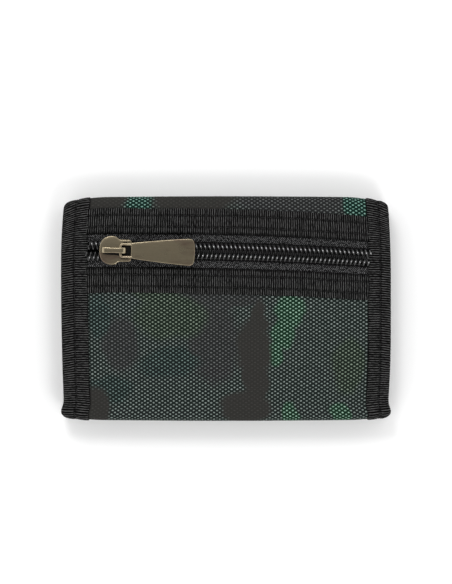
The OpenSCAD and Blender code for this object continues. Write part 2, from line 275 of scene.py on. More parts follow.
def mirrored(half):
    """A closed outline from its upper half."""
    return list(half) + [(u, -w) for u, w in reversed(half) if w > 0]


def joined(name, pieces):
    """Several meshes as one piece."""
    with bpy.context.temp_override(active_object=pieces[0], selected_editable_objects=pieces):
        bpy.ops.object.join()
    pieces[0].name = name
    return pieces[0]


def tube(name, line, radius, up, sides=8, widened=1.0):
    """A tube along a line of points, with a radius at each point and flat ends, widened along up."""
    forward = np.gradient(line, axis=0)
    forward /= np.linalg.norm(forward, axis=1, keepdims=True)
    across = np.cross(forward, up)
    across /= np.linalg.norm(across, axis=1, keepdims=True)
    over = np.cross(across, forward)
    angles = np.linspace(0, 2 * math.pi, sides + 1)[:-1]
    ring = across[:, None] * np.cos(angles)[:, None] + widened * over[:, None] * np.sin(angles)[:, None]
    points = line[:, None] + ring * np.broadcast_to(radius, len(line))[:, None, None]
    lengths = np.concatenate([[0], np.cumsum(np.linalg.norm(np.diff(line, axis=0), axis=1))])
    uv = np.stack(np.meshgrid(angles, lengths), -1)
    return swept(name, points, uv)


def finish_piece(piece, material, slot, body=None, bend=None, stands_for=()):
    """Gives a piece its material and its body, or, where bend is given, bakes its place into its points; and
    hides the CAD nodes it stands for. slot is not used.
    """
    piece.data.materials.append(material)
    if bend:
        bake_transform(piece)
    else:
        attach(piece, body)
    if stands_for:
        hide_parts(*stands_for)
    return piece


def corner_bend(body_a, body_b, side, upper):
    """The blend over one corner of a fold: from where its arc starts to where it ends."""
    drop = OUTER_DROP if side > 0 else INNER_DROP
    high = FACE_Z if upper else FACE_Z - FOLD_R - drop
    start = Vector((0, FOLD_Y if upper else FOLD_Y + FOLD_R, high))
    end = Vector((0, FOLD_Y + FOLD_R if upper else FOLD_Y, high - FOLD_R))
    flip = Vector((1, side, 1))
    return body_a, body_b, start * flip * MM, end * flip * MM


OUTER_TOP = corner_bend("back_panel", "outer_fold", 1, True)
OUTER_BASE = corner_bend("outer_fold", "outer_flap", 1, False)
INNER_TOP = corner_bend("back_panel", "inner_fold", -1, True)
INNER_BASE = corner_bend("inner_fold", "inner_flap", -1, False)


def fold_steps(v_from, v_to, step, fine=0.45):
    """Values of v from one to the other, closer together round the folds' corners."""
    values = [v_from]
    direction = 1 if v_to > v_from else -1
    while (v_to - values[-1]) * direction > 1e-6:
        v = values[-1]
        s = abs(v) - FOLD_Y
        drop = INNER_DROP if v < 0 else OUTER_DROP
        in_fold = -3 < s < 2 * QUARTER + drop + 3
        values.append(v + direction * min(fine if in_fold else step, abs(v_to - v)))
    return np.array(values)


# ---- Layers ----

def layer(name, x, v, inset, thickness):
    """A sheet of fabric. x and v are grids of places, and inset is how deep it lies under the shell's
    outer face."""
    inset = np.broadcast_to(inset, x.shape)
    return between(name, place(x, v, -inset), place(x, v, -inset - thickness), np.stack([x, v], -1))


def panel_grid(x_from, x_to, v_values, step=2.0):
    """Grids of x and v, closer together near the side bindings."""
    count = int(abs(x_to - x_from) / step) + 2
    t = np.linspace(-1, 1, count)
    x = mix(x_from, x_to, (t * (1.2 - 0.2 * t * t) + 1) / 2)
    return np.meshgrid(x, v_values)


# ---- Bindings ----

# Half the section of a binding: distance in from the edge, height over the layers, the share of the layers'
# thickness that this height is lowered by, and the outward normal.
BINDING_HALF = [
    ("leg", 0.10, 0, 0, 1),
    ("leg_edge", 0.46, 0, 0, 1),
    ("past_seam", 0.50, 0, 0, 1),
    ("seam", 0.20, 0, 0, 1),
    ("before_seam", 0.58, 0, 0, 1),
    (2.1, 0.66, 0, -0.15, 0.98),
    (0.75, 0.42, 0, -0.6, 0.8),
    (0.05, -0.12, -0.15, -0.95, 0.3),
]


def binding_section(leg, seam):
    """Rows of inset, height, thickness share and normal, round a binding from one leg's end to the other."""
    places = {"leg": leg, "leg_edge": leg - 0.25, "past_seam": seam + 0.75, "seam": seam,
              "before_seam": seam - 0.85}
    half = [[places.get(p, p), *rest] for p, *rest in BINDING_HALF]
    middle = [[0, 0, -0.5, -1, 0]]
    back = [[p, -height, -1 - share, normal_in, -normal_out]
            for p, height, share, normal_in, normal_out in reversed(half)]
    rows = np.array(half + middle + back, float)
    cut = [rows[:1]]
    for a, b in zip(rows[:-1], rows[1:]):
        cut.append(np.array([mix(a, b, 0.25), mix(a, b, 0.75)]))
    cut.append(rows[-1:])
    rows = np.concatenate(cut)
    rows[:, 3:] /= np.linalg.norm(rows[:, 3:], axis=1, keepdims=True)
    return rows


RIB_PITCH = 0.89
STITCH_PITCH = 2.7
RIB_HEIGHT = 0.045


def binding(name, locate, v_values, thickness, depth, leg, seam, slant=0.0):
    """A ribbed tape folded over an edge. locate(inset, v, out) places a point, and thickness and depth
    are the bound layers' own, for each v."""
    section = binding_section(leg, seam)
    inset, height, share, normal_in, normal_out = section.T
    lengths = np.concatenate([[0], np.cumsum(np.hypot(np.diff(inset), np.diff(height + share * 2)))])
    v = v_values[:, None]
    lean = slant * np.clip(seam - inset, 0, None) * (share > -0.5)
    rib = RIB_HEIGHT * np.cos(2 * math.pi * v / RIB_PITCH)
    out = height + share * thickness[:, None] - depth[:, None]
    lengths -= lengths[np.argmax(inset <= seam)]
    wander = 0.12 * np.sin(v / 5.3 + leg) + 0.08 * np.sin(v / 2.1)
    edge = inset + wander * smooth((inset - seam) / 2)
    outer = locate(edge + normal_in * rib, v - lean, out + normal_out * rib)
    inner = locate(edge - normal_in * 0.4, v - lean, out - normal_out * 0.4)
    uv = np.stack(np.broadcast_arrays(lengths, v), -1)
    return between(name, outer, inner, uv)


def side_place(side):
    """A locate function for the binding of the left (-1) or right (1) side."""
    return lambda inset, v, out: place(side * (HALF_W - inset), v, out)


def row_across(v, base, side=1):
    """A locate function for stitches across the wallet at v. side is -1 on a face that looks inwards."""
    return lambda a, out: place(a, v, base + side * out)


def row_along(x, base, side=1):
    """A locate function for stitches along the shell at x."""
    return lambda a, out: place(x, a, base + side * out)


def tape_steps(v_from, v_to):
    """Values of v four to each rib of the tape."""
    count = max(2, round(abs(v_to - v_from) / RIB_PITCH * 4))
    return np.linspace(v_from, v_to, count + 1)


# ---- Stitches ----

def stitches(name, locate, start, end, pitch=3.0, length=2.1, radius=0.17, rise=0.12):
    """A row of sewn stitches. locate(a, out) places a point at a along the row, out above the fabric."""
    centres = np.arange(start + pitch / 2, end - pitch / 2, pitch)
    centres = centres + random.uniform(-0.06, 0.06, len(centres))
    t = np.linspace(-0.5, 0.5, 7)
    a = centres[:, None] + t * length
    height = rise * np.cos(math.pi * t) * 1.6 - 0.10
    middle = locate(a, np.broadcast_to(height, a.shape))
    above = locate(a, np.broadcast_to(height + 0.5, a.shape))
    ahead = locate(a + 0.05, np.broadcast_to(height, a.shape))
    up = above - middle
    up /= np.linalg.norm(up, axis=-1, keepdims=True)
    forward = ahead - middle
    forward /= np.linalg.norm(forward, axis=-1, keepdims=True)
    across = np.cross(up, forward)
    angles = np.linspace(0, 2 * math.pi, 7)[:-1]
    size = radius * np.sqrt(np.clip(1 - np.square(2 * t), 0.12, 1))
    ring = across[:, :, None] * np.cos(angles)[:, None] + up[:, :, None] * np.sin(angles)[:, None]
    points = middle[:, :, None] + ring * size[None, :, None, None]
    faces = []
    for i in range(len(centres)):
        faces += solid_faces(len(t), len(angles), i * len(t) * len(angles))
    turn = np.broadcast_to(angles / (2 * math.pi), points.shape[:3])
    run = np.broadcast_to((a - centres[:, None])[:, :, None], points.shape[:3])
    return mesh(name, points, faces, np.stack([turn, run], -1))


# ---- Materials ----

class Graph:
    """One material's nodes, with short names for what is used again and again."""

    def __init__(self, name, **settings):
        self.material = bpy.data.materials.new(name)
        self.material.use_nodes = True
        self.nodes = self.material.node_tree.nodes
        self.links = self.material.node_tree.links
        self.shader = self.nodes["Principled BSDF"]
        for key, value in settings.items():
            self.set(key.replace("_", " ").title().replace("Ior", "IOR"), value)

    def set(self, socket, value):
        self.join(self.shader.inputs[socket], value)

    def join(self, socket, value):
        if isinstance(value, bpy.types.NodeSocket):
            self.links.new(value, socket)
        elif isinstance(value, (tuple, list)) and len(value) == 3 and socket.type == "RGBA":
            socket.default_value = (*value, 1)
        else:
            socket.default_value = value

    def node(self, kind, inputs=(), **properties):
        made = self.nodes.new(kind)
        for key, value in properties.items():
            setattr(made, key, value)
        for key, value in (inputs.items() if isinstance(inputs, dict) else enumerate(inputs)):
            self.join(made.inputs[key], value)
        return made

    def math(self, operation, *values):
        return self.node("ShaderNodeMath", values, operation=operation).outputs[0]

    def times(self, a, b):
        return self.math("MULTIPLY", a, b)

    def plus(self, a, b):
        return self.math("ADD", a, b)

    def minus(self, a, b):
        return self.math("SUBTRACT", a, b)

    def vector(self, operation, *values):
        made = self.node("ShaderNodeVectorMath", values, operation=operation)
        return made.outputs["Value" if operation == "LENGTH" else "Vector"]

    def cloth(self):
        """The uv of the cloth in millimetres, as a vector and as its two parts."""
        uv = self.node("ShaderNodeUVMap", uv_map="cloth").outputs[0]
        parts = self.node("ShaderNodeSeparateXYZ", [uv])
        return uv, parts.outputs[0], parts.outputs[1]

    def noise(self, vector, scale, detail=2.0, roughness=0.5, output=0):
        inputs = {"Vector": vector, "Scale": scale, "Detail": detail, "Roughness": roughness}
        return self.node("ShaderNodeTexNoise", inputs).outputs[output]

    def ramp(self, value, low, high, to_low=0.0, to_high=1.0):
        """value taken smoothly from low..high to to_low..to_high."""
        return self.node("ShaderNodeMapRange", [value, low, high, to_low, to_high],
                         interpolation_type="SMOOTHSTEP").outputs[0]

    def blend(self, factor, a, b):
        made = self.node("ShaderNodeMix", data_type="RGBA")
        self.join(made.inputs[0], factor)
        self.join(made.inputs[6], a)
        self.join(made.inputs[7], b)
        return made.outputs[2]

    def wave(self, value, pitch):
        """Cosine of a length, 1 at every pitch."""
        return self.math("COSINE", self.times(value, 2 * math.pi / pitch))

    def stretched(self, vector, x, y, z=1.0):
        return self.vector("MULTIPLY", vector, (x, y, z))

    def jittered(self, uv, noise, amount_u, amount_v):
        """uv moved about by a noise whose parts lie round a half."""
        moved = self.vector("SUBTRACT", noise, (0.5, 0.5, 0.5))
        return self.vector("ADD", uv, self.vector("MULTIPLY", moved, (amount_u, amount_v, 0.0)))

    def bump(self, height, depth_mm, strength=1.0):
        inputs = {"Strength": strength, "Distance": depth_mm * MM, "Height": height}
        self.set("Normal", self.node("ShaderNodeBump", inputs).outputs[0])


CLOTH_GLOSS = {"roughness": 0.8, "specular_ior_level": 0.04}

WEAVE_U = 2.22          # across, between dots of one row
WEAVE_V = 1.45          # along, between a row of dots and the next but one

# The camouflage's ground colour, and the colour of the yarn that shows as dots.
PLAIN = (0.0090, 0.0130, 0.0118), (0.235, 0.278, 0.258)

# Its patches of other colours, each kind over those before it: the two colours, the seed and the threshold
# of those that are scattered, and those on the back panel by centre, half width and half height.
ZONES = [
    ((0.0155, 0.0165, 0.0165), (0.128, 0.135, 0.133), 1, 0.52,      # grey
     [(-40.0, -13.0, 6.5, 10.0), (-4.5, -12.0, 9.5, 16.0), (-2.0, 4.0, 16.0, 4.0), (25.0, 42.0, 23.0, 10.0)]),
    ((0.0075, 0.0120, 0.0112), (0.160, 0.222, 0.205), 2, 0.55,      # teal
     [(-48.0, -2.8, 4.5, 8.5), (-21.5, -20.6, 11.5, 6.0), (-44.0, -30.0, 8.0, 5.0)]),
    ((0.0090, 0.0145, 0.0100), (0.215, 0.270, 0.210), 3, 0.55,      # olive
     [(-21.0, -3.0, 13.5, 8.5), (46.5, -22.0, 6.5, 9.5), (-26.0, 8.0, 10.0, 6.0)]),
    ((0.0035, 0.0150, 0.0112), (0.215, 0.390, 0.325), 6, 0.66,      # mint
     [(49.8, 41.5, 4.8, 9.0), (-33.4, 42.5, 5.2, 11.0)]),
    ((0.0050, 0.0210, 0.0102), (0.290, 0.455, 0.350), 4, 0.63,      # bright green
     [(24.6, -1.0, 5.6, 7.0), (22.0, -9.5, 4.6, 5.5), (18.8, -17.0, 3.0, 4.2), (24.6, -40.5, 3.4, 5.0),
      (43.5, -40.5, 3.4, 5.5)]),
    ((0.0250, 0.0245, 0.0225), (0.0430, 0.0420, 0.0390), 5, 0.56,   # dark, with hardly any dots
     [(12.8, -4.5, 3.4, 8.0), (10.6, -15.0, 6.6, 11.0), (11.6, -27.0, 5.4, 8.5), (7.5, -37.5, 9.5, 6.5),
      (-49.5, -37.5, 4.8, 8.0), (-47.0, 42.0, 8.0, 10.0), (-12.5, 42.0, 16.0, 11.0)]),
]


def zone_mask(g, place_uv, on_back, seed, threshold, patches):
    """1 inside a zone's patches: those given on the back panel, and scattered ones on the flaps."""
    near = None
    for x, y, half_x, half_y in patches:
        offset = g.vector("SUBTRACT", place_uv, (x, y, 0.0))
        distance = g.vector("LENGTH", g.vector("MULTIPLY", offset, (1 / half_x, 1 / half_y, 0.0)))
        near = distance if near is None else g.math("MINIMUM", near, distance)
    given = g.times(g.ramp(near, 0.80, 1.20, 1.0, 0.0), on_back)
    field = g.noise(g.vector("ADD", place_uv, (seed * 97.0, seed * 31.0, 0.0)), 0.035, 1.0, 0.4)
    scattered = g.times(g.ramp(field, threshold, threshold + 0.03), g.minus(1.0, on_back))
    return g.math("MAXIMUM", given, scattered)


def camouflage_fabric():
    """A dark dobby weave with rows of light dots, whose colours change in soft patches, with painted shade
    along the inner edges of the side bindings.
    """
    g = Graph("camouflage_fabric", **CLOTH_GLOSS)
    uv, u, v = g.cloth()
    moved = g.jittered(uv, g.noise(uv, 0.10, 3.0, 0.55, output=1), 7.0, 7.0)
    on_back = g.ramp(g.math("ABSOLUTE", v), 43.0, 47.0, 1.0, 0.0)
    ground, dots = PLAIN
    for zone_ground, zone_dots, seed, threshold, patches in ZONES:
        mask = zone_mask(g, moved, on_back, seed, threshold, patches)
        ground = g.blend(mask, ground, zone_ground)
        dots = g.blend(mask, dots, zone_dots)

    uneven_uv = g.jittered(uv, g.noise(uv, 0.9, 1.0, 0.5, output=1), 0.35, 0.3)
    across, along, _ = g.node("ShaderNodeSeparateXYZ", [uneven_uv]).outputs
    lattice = g.times(g.wave(across, WEAVE_U), g.wave(along, WEAVE_V))
    yarn = g.wave(g.plus(u, g.times(v, 0.2)), 0.19)
    uneven = g.noise(uv, 1.1, 1.0, 0.6)
    dot = g.times(g.ramp(lattice, 0.12, 0.92), g.ramp(uneven, 0.28, 0.68, 0.55, 1.15))
    dot = g.times(dot, g.ramp(yarn, -1.0, 1.0, 0.82, 1.0))
    # Painted shade: a strip along each side binding's inner edge darkens to near black, for the shadow where
    # the binding meets the fabric.
    left_edge = g.plus(u, HALF_W - LEFT_LEG)
    right_edge = g.minus(HALF_W - RIGHT_LEG, u)
    painted_binding_shade = g.ramp(g.math("MINIMUM", left_edge, right_edge), 0.0, 0.8, 1.0, 0.0)
    g.set("Base Color", g.blend(painted_binding_shade, g.blend(dot, ground, dots), (0.003, 0.003, 0.003)))
    g.bump(g.plus(g.times(lattice, 0.5), g.times(yarn, 0.08)), 0.16, 0.7)
    return g.material


def ribbed_tape(name, shaded_groove, lit_ridge, seams=(), pitch=RIB_PITCH):
    """Grosgrain: ribs across the tape, each a bundle of fine threads. Each rib's ridge carries a painted
    highlight, broken up unevenly, and the grooves between are painted shade; along each seam the channel that
    the stitches pull in is painted shade too."""
    g = Graph(name, **CLOTH_GLOSS)
    uv, u, v = g.cloth()
    sway = g.times(g.minus(g.noise(uv, 0.35, 2.0), 0.5), 0.5)
    rib = g.wave(g.plus(v, sway), pitch)
    thread = g.wave(u, 0.42)
    streak = g.noise(g.stretched(uv, 0.55, 1.9), 1.0, 3.0, 0.6)
    worn = g.noise(uv, 0.13, 3.0, 0.6)
    # Painted highlight on each rib's ridge and painted shade in its grooves, varied by streaks.
    painted_rib_light = g.times(g.ramp(rib, 0.05, 1.0), g.ramp(streak, 0.30, 0.70, 0.2, 1.45))
    painted_rib_light = g.times(painted_rib_light, g.ramp(worn, 0.25, 0.75, 0.8, 1.2))
    # Painted shade along each seam, for the channel that the stitches pull in, with dark needle holes; it
    # grows and fades in step with the stitches.
    pull = g.ramp(g.wave(v, STITCH_PITCH), -0.9, 0.9, 0.25, 0.55)
    for seam in seams:
        near = g.ramp(g.math("ABSOLUTE", g.minus(u, seam)), 0.25, 0.7, 1.0, 0.0)
        painted_seam_shade = g.times(near, g.minus(1.0, pull))
        painted_rib_light = g.times(painted_rib_light, g.minus(1.0, painted_seam_shade))
    g.set("Base Color", g.blend(painted_rib_light, shaded_groove, lit_ridge))
    g.bump(g.plus(rib, g.times(thread, 0.15)), 0.09, 0.9)
    return g.material


def twill_tape():
    """The zip's tape: a fine twill with lengthwise stripes where its direction turns, and painted shadow
    under the bands' edges and under and beside the coil.
    """
    g = Graph("twill_tape", **CLOTH_GLOSS)
    uv, u, v = g.cloth()
    turning = g.math("ABSOLUTE", g.minus(g.math("FRACT", g.times(u, 0.35)), 0.5))
    twill = g.wave(g.plus(v, g.times(turning, 3.0)), 0.78)
    speck = g.noise(uv, 1.5, 2.0, 0.7)
    light = g.times(g.ramp(twill, 0.0, 1.0), g.ramp(speck, 0.42, 0.60, 0.05, 1.7))
    # Painted shadow: near black where the bands' edges and the coil would shade the tape.
    band_edge_shadow = g.ramp(u, 5.9, 6.4, 1.0, 0.08)
    coil_edge_shadow = g.ramp(u, 3.3, 3.9, 0.05, 1.0)
    light = g.times(light, g.times(band_edge_shadow, coil_edge_shadow))
    g.set("Base Color", g.blend(light, (0.0025, 0.0025, 0.0027), (0.150, 0.150, 0.152)))
    g.bump(g.plus(twill, g.times(speck, 0.6)), 0.05, 0.7)
    return g.material


def plain_weave(name, dark, light, pitch=0.5):
    """A plain weave cloth: threads over and under each other."""
    g = Graph(name, **CLOTH_GLOSS)
    uv, u, v = g.cloth()
    over = g.times(g.wave(u, pitch * 2), g.wave(v, pitch * 2))
    slub = g.noise(g.stretched(uv, 0.2, 2.0), 1.0, 2.0, 0.6)
    crease = g.noise(uv, 0.06, 4.0, 0.55)
    light_share = g.times(g.ramp(over, -0.8, 0.9), g.ramp(slub, 0.25, 0.75, 0.6, 1.2))
    g.set("Base Color", g.blend(light_share, dark, light))
    g.set("Roughness", g.ramp(crease, 0.3, 0.7, 0.6, 0.78))
    g.bump(g.plus(over, g.times(crease, 6.0)), 0.05, 0.7)
    return g.material


def sewing_thread(name, color):
    g = Graph(name, roughness=0.5, specular_ior_level=0.2)
    _, turn, run = g.cloth()
    twist = g.wave(g.plus(g.times(turn, 0.45), run), 0.45)
    dark = tuple(0.4 * part for part in color)
    g.set("Base Color", g.blend(g.ramp(twist, -0.9, 0.7), dark, color))
    g.bump(twist, 0.04, 0.8)
    return g.material


def coil_nylon():
    """Glossy black nylon, with a pale painted highlight on the highest point of each turn."""
    g = Graph("coil_nylon", roughness=0.16, ior=1.45, coat_weight=0.6, coat_roughness=0.06, coat_ior=1.5)
    where = g.node("ShaderNodeTexCoord").outputs["Object"]
    height = g.node("ShaderNodeSeparateXYZ", [where]).outputs[2]
    scuff = g.noise(where, 2600.0, 3.0, 0.6)
    nylon = g.blend(scuff, (0.001, 0.001, 0.001), (0.004, 0.004, 0.0042))
    # Painted highlight: the top of each turn of the coil is coloured near white.
    painted_crest_highlight = g.ramp(height, (FACE_Z + 1.94) * MM, (FACE_Z + 2.0) * MM, 0.0, 1.0)
    painted_crest_highlight = g.times(painted_crest_highlight, g.ramp(scuff, 0.3, 0.6, 0.55, 1.0))
    g.set("Base Color", g.blend(painted_crest_highlight, nylon, (0.72, 0.72, 0.73)))
    g.set("Roughness", g.ramp(scuff, 0.35, 0.75, 0.13, 0.26))
    g.bump(scuff, 0.01, 0.4)
    return g.material


def bronze_metal():
    """Dark bronze plating: brushed faintly along the zip, dulled in patches and with fine scratches."""
    g = Graph("bronze_metal", metallic=1.0)
    where = g.node("ShaderNodeTexCoord").outputs["Object"]
    patches = g.noise(where, 260.0, 3.0, 0.55)
    brushed = g.noise(g.stretched(where, 260.0, 5200.0, 2600.0), 1.0, 3.0, 0.6)
    scratch = g.noise(g.stretched(where, 500.0, 2600.0, 2600.0), 1.0, 6.0, 0.75)
    tone = g.times(g.ramp(patches, 0.3, 0.7, 0.75, 1.1), g.ramp(brushed, 0.25, 0.75, 0.88, 1.08))
    tarnish = g.ramp(g.noise(g.stretched(where, 70.0, 190.0, 190.0), 1.0, 4.0, 0.6), 0.42, 0.68)
    clean = g.blend(tone, (0.145, 0.108, 0.071), (0.355, 0.303, 0.206))
    g.set("Base Color", g.blend(g.times(tarnish, 0.85), clean, (0.200, 0.138, 0.108)))
    g.set("Roughness", g.ramp(patches, 0.3, 0.7, 0.32, 0.27))
    g.bump(g.plus(brushed, scratch), 0.012, 0.35)
    return g.material


def painted_gap_shade():
    """Near-black matt for the sheet that stands for the lock pin's slot and is painted shade in the gaps
    under the bail and inside the pull's eye.
    """
    g = Graph("painted_gap_shade", roughness=0.8, specular_ior_level=0.1)
    grain = g.noise(g.node("ShaderNodeTexCoord").outputs["Object"], 3000.0, 2.0)
    g.set("Base Color", g.blend(grain, (0.002, 0.002, 0.002), (0.010, 0.009, 0.008)))
    g.bump(grain, 0.02, 0.5)
    return g.material


def clear_film():
    g = Graph("clear_film", roughness=0.12, alpha=0.22, ior=1.5, coat_weight=0.3)
    uv, _, _ = g.cloth()
    ripple = g.noise(uv, 0.09, 2.0)
    g.set("Base Color", g.blend(ripple, (0.62, 0.66, 0.68), (0.80, 0.84, 0.86)))
    g.bump(ripple, 1.2, 0.5)
    return g.material


def foam():
    g = Graph("foam", roughness=0.9)
    uv, _, _ = g.cloth()
    cells = g.node("ShaderNodeTexVoronoi", {"Vector": uv, "Scale": 1.4}).outputs[0]
    g.set("Base Color", g.blend(cells, (0.22, 0.22, 0.21), (0.34, 0.34, 0.32)))
    g.bump(cells, 0.15, 0.6)
    return g.material


def pile(name, color):
    """The nylon of a hook or loop patch."""
    g = Graph(name, roughness=0.5, sheen_weight=0.2)
    uv, u, v = g.cloth()
    fleck = g.noise(uv, 1.6, 3.0, 0.7)
    rows = g.times(g.wave(u, 1.2), g.wave(v, 1.0))
    dark = tuple(0.35 * part for part in color)
    g.set("Base Color", g.blend(g.ramp(fleck, 0.3, 0.7), dark, color))
    g.bump(g.plus(rows, fleck), 0.12, 0.7)
    return g.material


CAMOUFLAGE = camouflage_fabric()
# Along each seam listed the tape is darkened with painted shade; the bands' 0.25 puts it along their inner
# edges.
BINDING = ribbed_tape("binding_grosgrain", (0.0006, 0.0006, 0.0006), (0.080, 0.080, 0.079), (0.0,))
BAND = ribbed_tape("band_grosgrain", (0.0013, 0.0013, 0.0013), (0.080, 0.080, 0.079),
                   (0.25, *BAND_SEAMS.values()))
TWILL = twill_tape()
LINING = plain_weave("lining_weave", (0.008, 0.009, 0.009), (0.030, 0.032, 0.032), 0.32)
POCKET = plain_weave("pocket_weave", (0.010, 0.013, 0.012), (0.040, 0.047, 0.043), 0.45)
THREAD = sewing_thread("black_thread", (0.014, 0.014, 0.014))
COIL_THREAD = sewing_thread("coil_thread", (0.006, 0.006, 0.006))
COIL = coil_nylon()
BRONZE = bronze_metal()
GAP_SHADE = painted_gap_shade()
FILM = clear_film()
FOAM = foam()
HOOK = pile("hook_nylon", (0.022, 0.022, 0.023))
LOOP = pile("loop_nylon", (0.030, 0.030, 0.031))


# ---- Shell ----

def back_shell(name, side, mid_v, bend, node):
    """The camouflage fabric on one side of the zip, down to the middle of that side's fold."""
    x, _ = panel_grid(-FABRIC_HALF_W, FABRIC_HALF_W, [0], 1.6)
    start = zip_line(x[0]) + side * (BAND_INNER + 5)
    straight_from = side * (FOLD_Y - 3)
    rows = [mix(start, straight_from, t) for t in np.linspace(0, 1, 6 if side > 0 else 26)[:-1]]
    rows += [np.full_like(start, v) for v in fold_steps(straight_from, mid_v, 1.6)]
    v = np.array(rows)
    piece = layer(name, np.broadcast_to(x[0], v.shape), v, 0.0, SHELL_T)
    finish_piece(piece, CAMOUFLAGE, "camouflage_fabric", bend=bend, stands_for=[node])


def flap_shell(name, mid_v, end_v, bend, nodes):
    """The camouflage fabric from the middle of a fold to its flap's end."""
    x, v = panel_grid(-FABRIC_HALF_W, FABRIC_HALF_W, fold_steps(mid_v, end_v, 1.8), 1.8)
    piece = layer(name, x, v, 0.0, SHELL_T)
    finish_piece(piece, CAMOUFLAGE, "camouflage_fabric", bend=bend, stands_for=nodes)


def shell_pieces():
    back_shell("shell_back_upper", 1, OUTER_MID_V, OUTER_TOP, "back_shell_upper")
    back_shell("shell_back_lower", -1, INNER_MID_V, INNER_TOP, "back_shell_lower")
    flap_shell("shell_outer_flap", OUTER_MID_V, OUTER_END_V - 0.5, OUTER_BASE,
               ["outer_fold_shell", "outer_flap_shell"])
    flap_shell("shell_inner_flap", INNER_MID_V, INNER_END_V + 0.5, INNER_BASE,
               ["inner_fold_shell", "inner_flap_shell"])


# ---- Linings, pockets and padding ----

OUTER_FOLD_DEPTH = SHELL_T + 1.2     # how deep the linings lie under the shell, round each fold
INNER_FOLD_DEPTH = SHELL_T + 0.6


def toward_binding(x):
    """0 over the panel's middle, and 1 where its layers are sewn together inside the side bindings."""
    return smooth((np.abs(x) - 48) / 11)


def layer_depth(x, v, panel, left, right, outer_fold, inner_fold):
    """A back panel layer's depth: as on the panel, drawn up to the shell at the sides and at the folds."""
    depth = mix(panel, np.where(x < 0, left, right), toward_binding(x))
    fold = np.where(v < 0, inner_fold, outer_fold)
    return mix(depth, fold, smooth((np.abs(v) - 30) / 8))


def coin_back_depth(x, v):
    return layer_depth(x, v, FACE_Z - span("coin_pocket_back", Z)[1], 0.75, 0.75, 0.62, 0.62)


def back_lining_depth(x, v):
    panel = FACE_Z - span("back_lining", Z)[1]
    return layer_depth(x, v, panel, 1.2, 2.65, OUTER_FOLD_DEPTH, INNER_FOLD_DEPTH)


def outer_lining_depth(x, v):
    panel = span("outer_flap_lining", Z)[0] - OUTER_FLAP_Z
    depth = mix(panel, np.where(x < 0, 1.2, 2.3), toward_binding(x))
    depth = mix(OUTER_FOLD_DEPTH, depth, smooth((v - OUTER_FLAP_V) / 8))
    return mix(depth, 1.2, smooth((v - OUTER_END_V + 12) / 9))


def inner_lining_depth(x, v):
    return mix(INNER_FOLD_DEPTH, 1.0, toward_binding(x) * smooth((INNER_FLAP_V - v) / 6))


def lining(name, v_from, v_to, depth, nodes, **riding):
    """A sheet of lining across the wallet, depth(x, v) under the shell's face."""
    x, v = panel_grid(-FABRIC_HALF_W, FABRIC_HALF_W, fold_steps(v_from, v_to, 2.4), 2.4)
    piece = layer(name, x, v, depth(x, v), LINING_T)
    finish_piece(piece, LINING, "lining", stands_for=nodes, **riding)


def padding(name, start, end, thickness, node, body):
    """The thin foam between a flap's shell and its lining."""
    x, v = panel_grid(-51, 51, np.linspace(start, end, 30), 3)
    bulge = thickness * mound(x / 60) * mound((v - (start + end) / 2) / (abs(end - start) * 0.62))
    piece = layer(name, x, v, SHELL_T + 0.03, bulge + 0.15)
    finish_piece(piece, FOAM, "foam", body=body, stands_for=[node])


def pocket(node, trim_node, v_values, depth, side, body):
    """A pocket's cloth up to its bound mouth. v rises towards the mouth with side 1, and falls with -1."""
    x, v = panel_grid(-FABRIC_HALF_W, FABRIC_HALF_W, v_values, 2.4)
    piece = layer(node + "_cloth", x, v, depth(x, v), POCKET_T)
    finish_piece(piece, POCKET, "pocket_fabric", body=body, stands_for=[node])
    trim(trim_node, v_values[-1], depth, side, body)


def inside_layers():
    """Everything behind the shell."""
    lining("coin_pocket_back_cloth", -37.5, 37.5, coin_back_depth, ["coin_pocket_back"], body="back_panel")
    lining("back_lining_upper", 0, OUTER_MID_V, back_lining_depth, ["back_lining"], bend=OUTER_TOP)
    lining("back_lining_lower", 0, INNER_MID_V, back_lining_depth, [], bend=INNER_TOP)
    lining("outer_flap_lining_cloth", OUTER_MID_V, OUTER_END_V - 0.8, outer_lining_depth,
           ["outer_fold_lining", "outer_flap_lining"], bend=OUTER_BASE)
    lining("inner_flap_lining_cloth", INNER_MID_V, INNER_END_V + 0.8, inner_lining_depth,
           ["inner_fold_lining", "inner_flap_lining"], bend=INNER_BASE)

    padding("outer_flap_padding", OUTER_FLAP_V + 3, OUTER_END_V - 9, 0.8, "outer_flap_foam", "outer_flap")
    padding("inner_flap_padding", INNER_FLAP_V - 3, INNER_END_V + 9, 0.5, "inner_flap_foam", "inner_flap")

    card_seam_v = -37.8
    for i in (1, 2, 3):
        mouth = span(f"card_pocket_{i}", Y)[1]

        def card_depth(x, v):
            stacked = LINING_T * (4 - i)
            return back_lining_depth(x, v) + stacked + 0.35 * smooth((v - mouth + 14) / 12)

        pocket(f"card_pocket_{i}", f"card_trim_{i}", np.linspace(card_seam_v, mouth, 40),
               card_depth, 1, "back_panel")

    mouth_v = inner_flap_v(span("inner_card_pocket", Y)[1])

    def inner_pocket_depth(x, v):
        return inner_lining_depth(x, v) + LINING_T + 0.25 * smooth((mouth_v + 14 - v) / 12)

    pocket("inner_card_pocket", "inner_card_trim", np.linspace(INNER_FLAP_V - 0.6, mouth_v, 28),
           inner_pocket_depth, -1, "inner_flap")


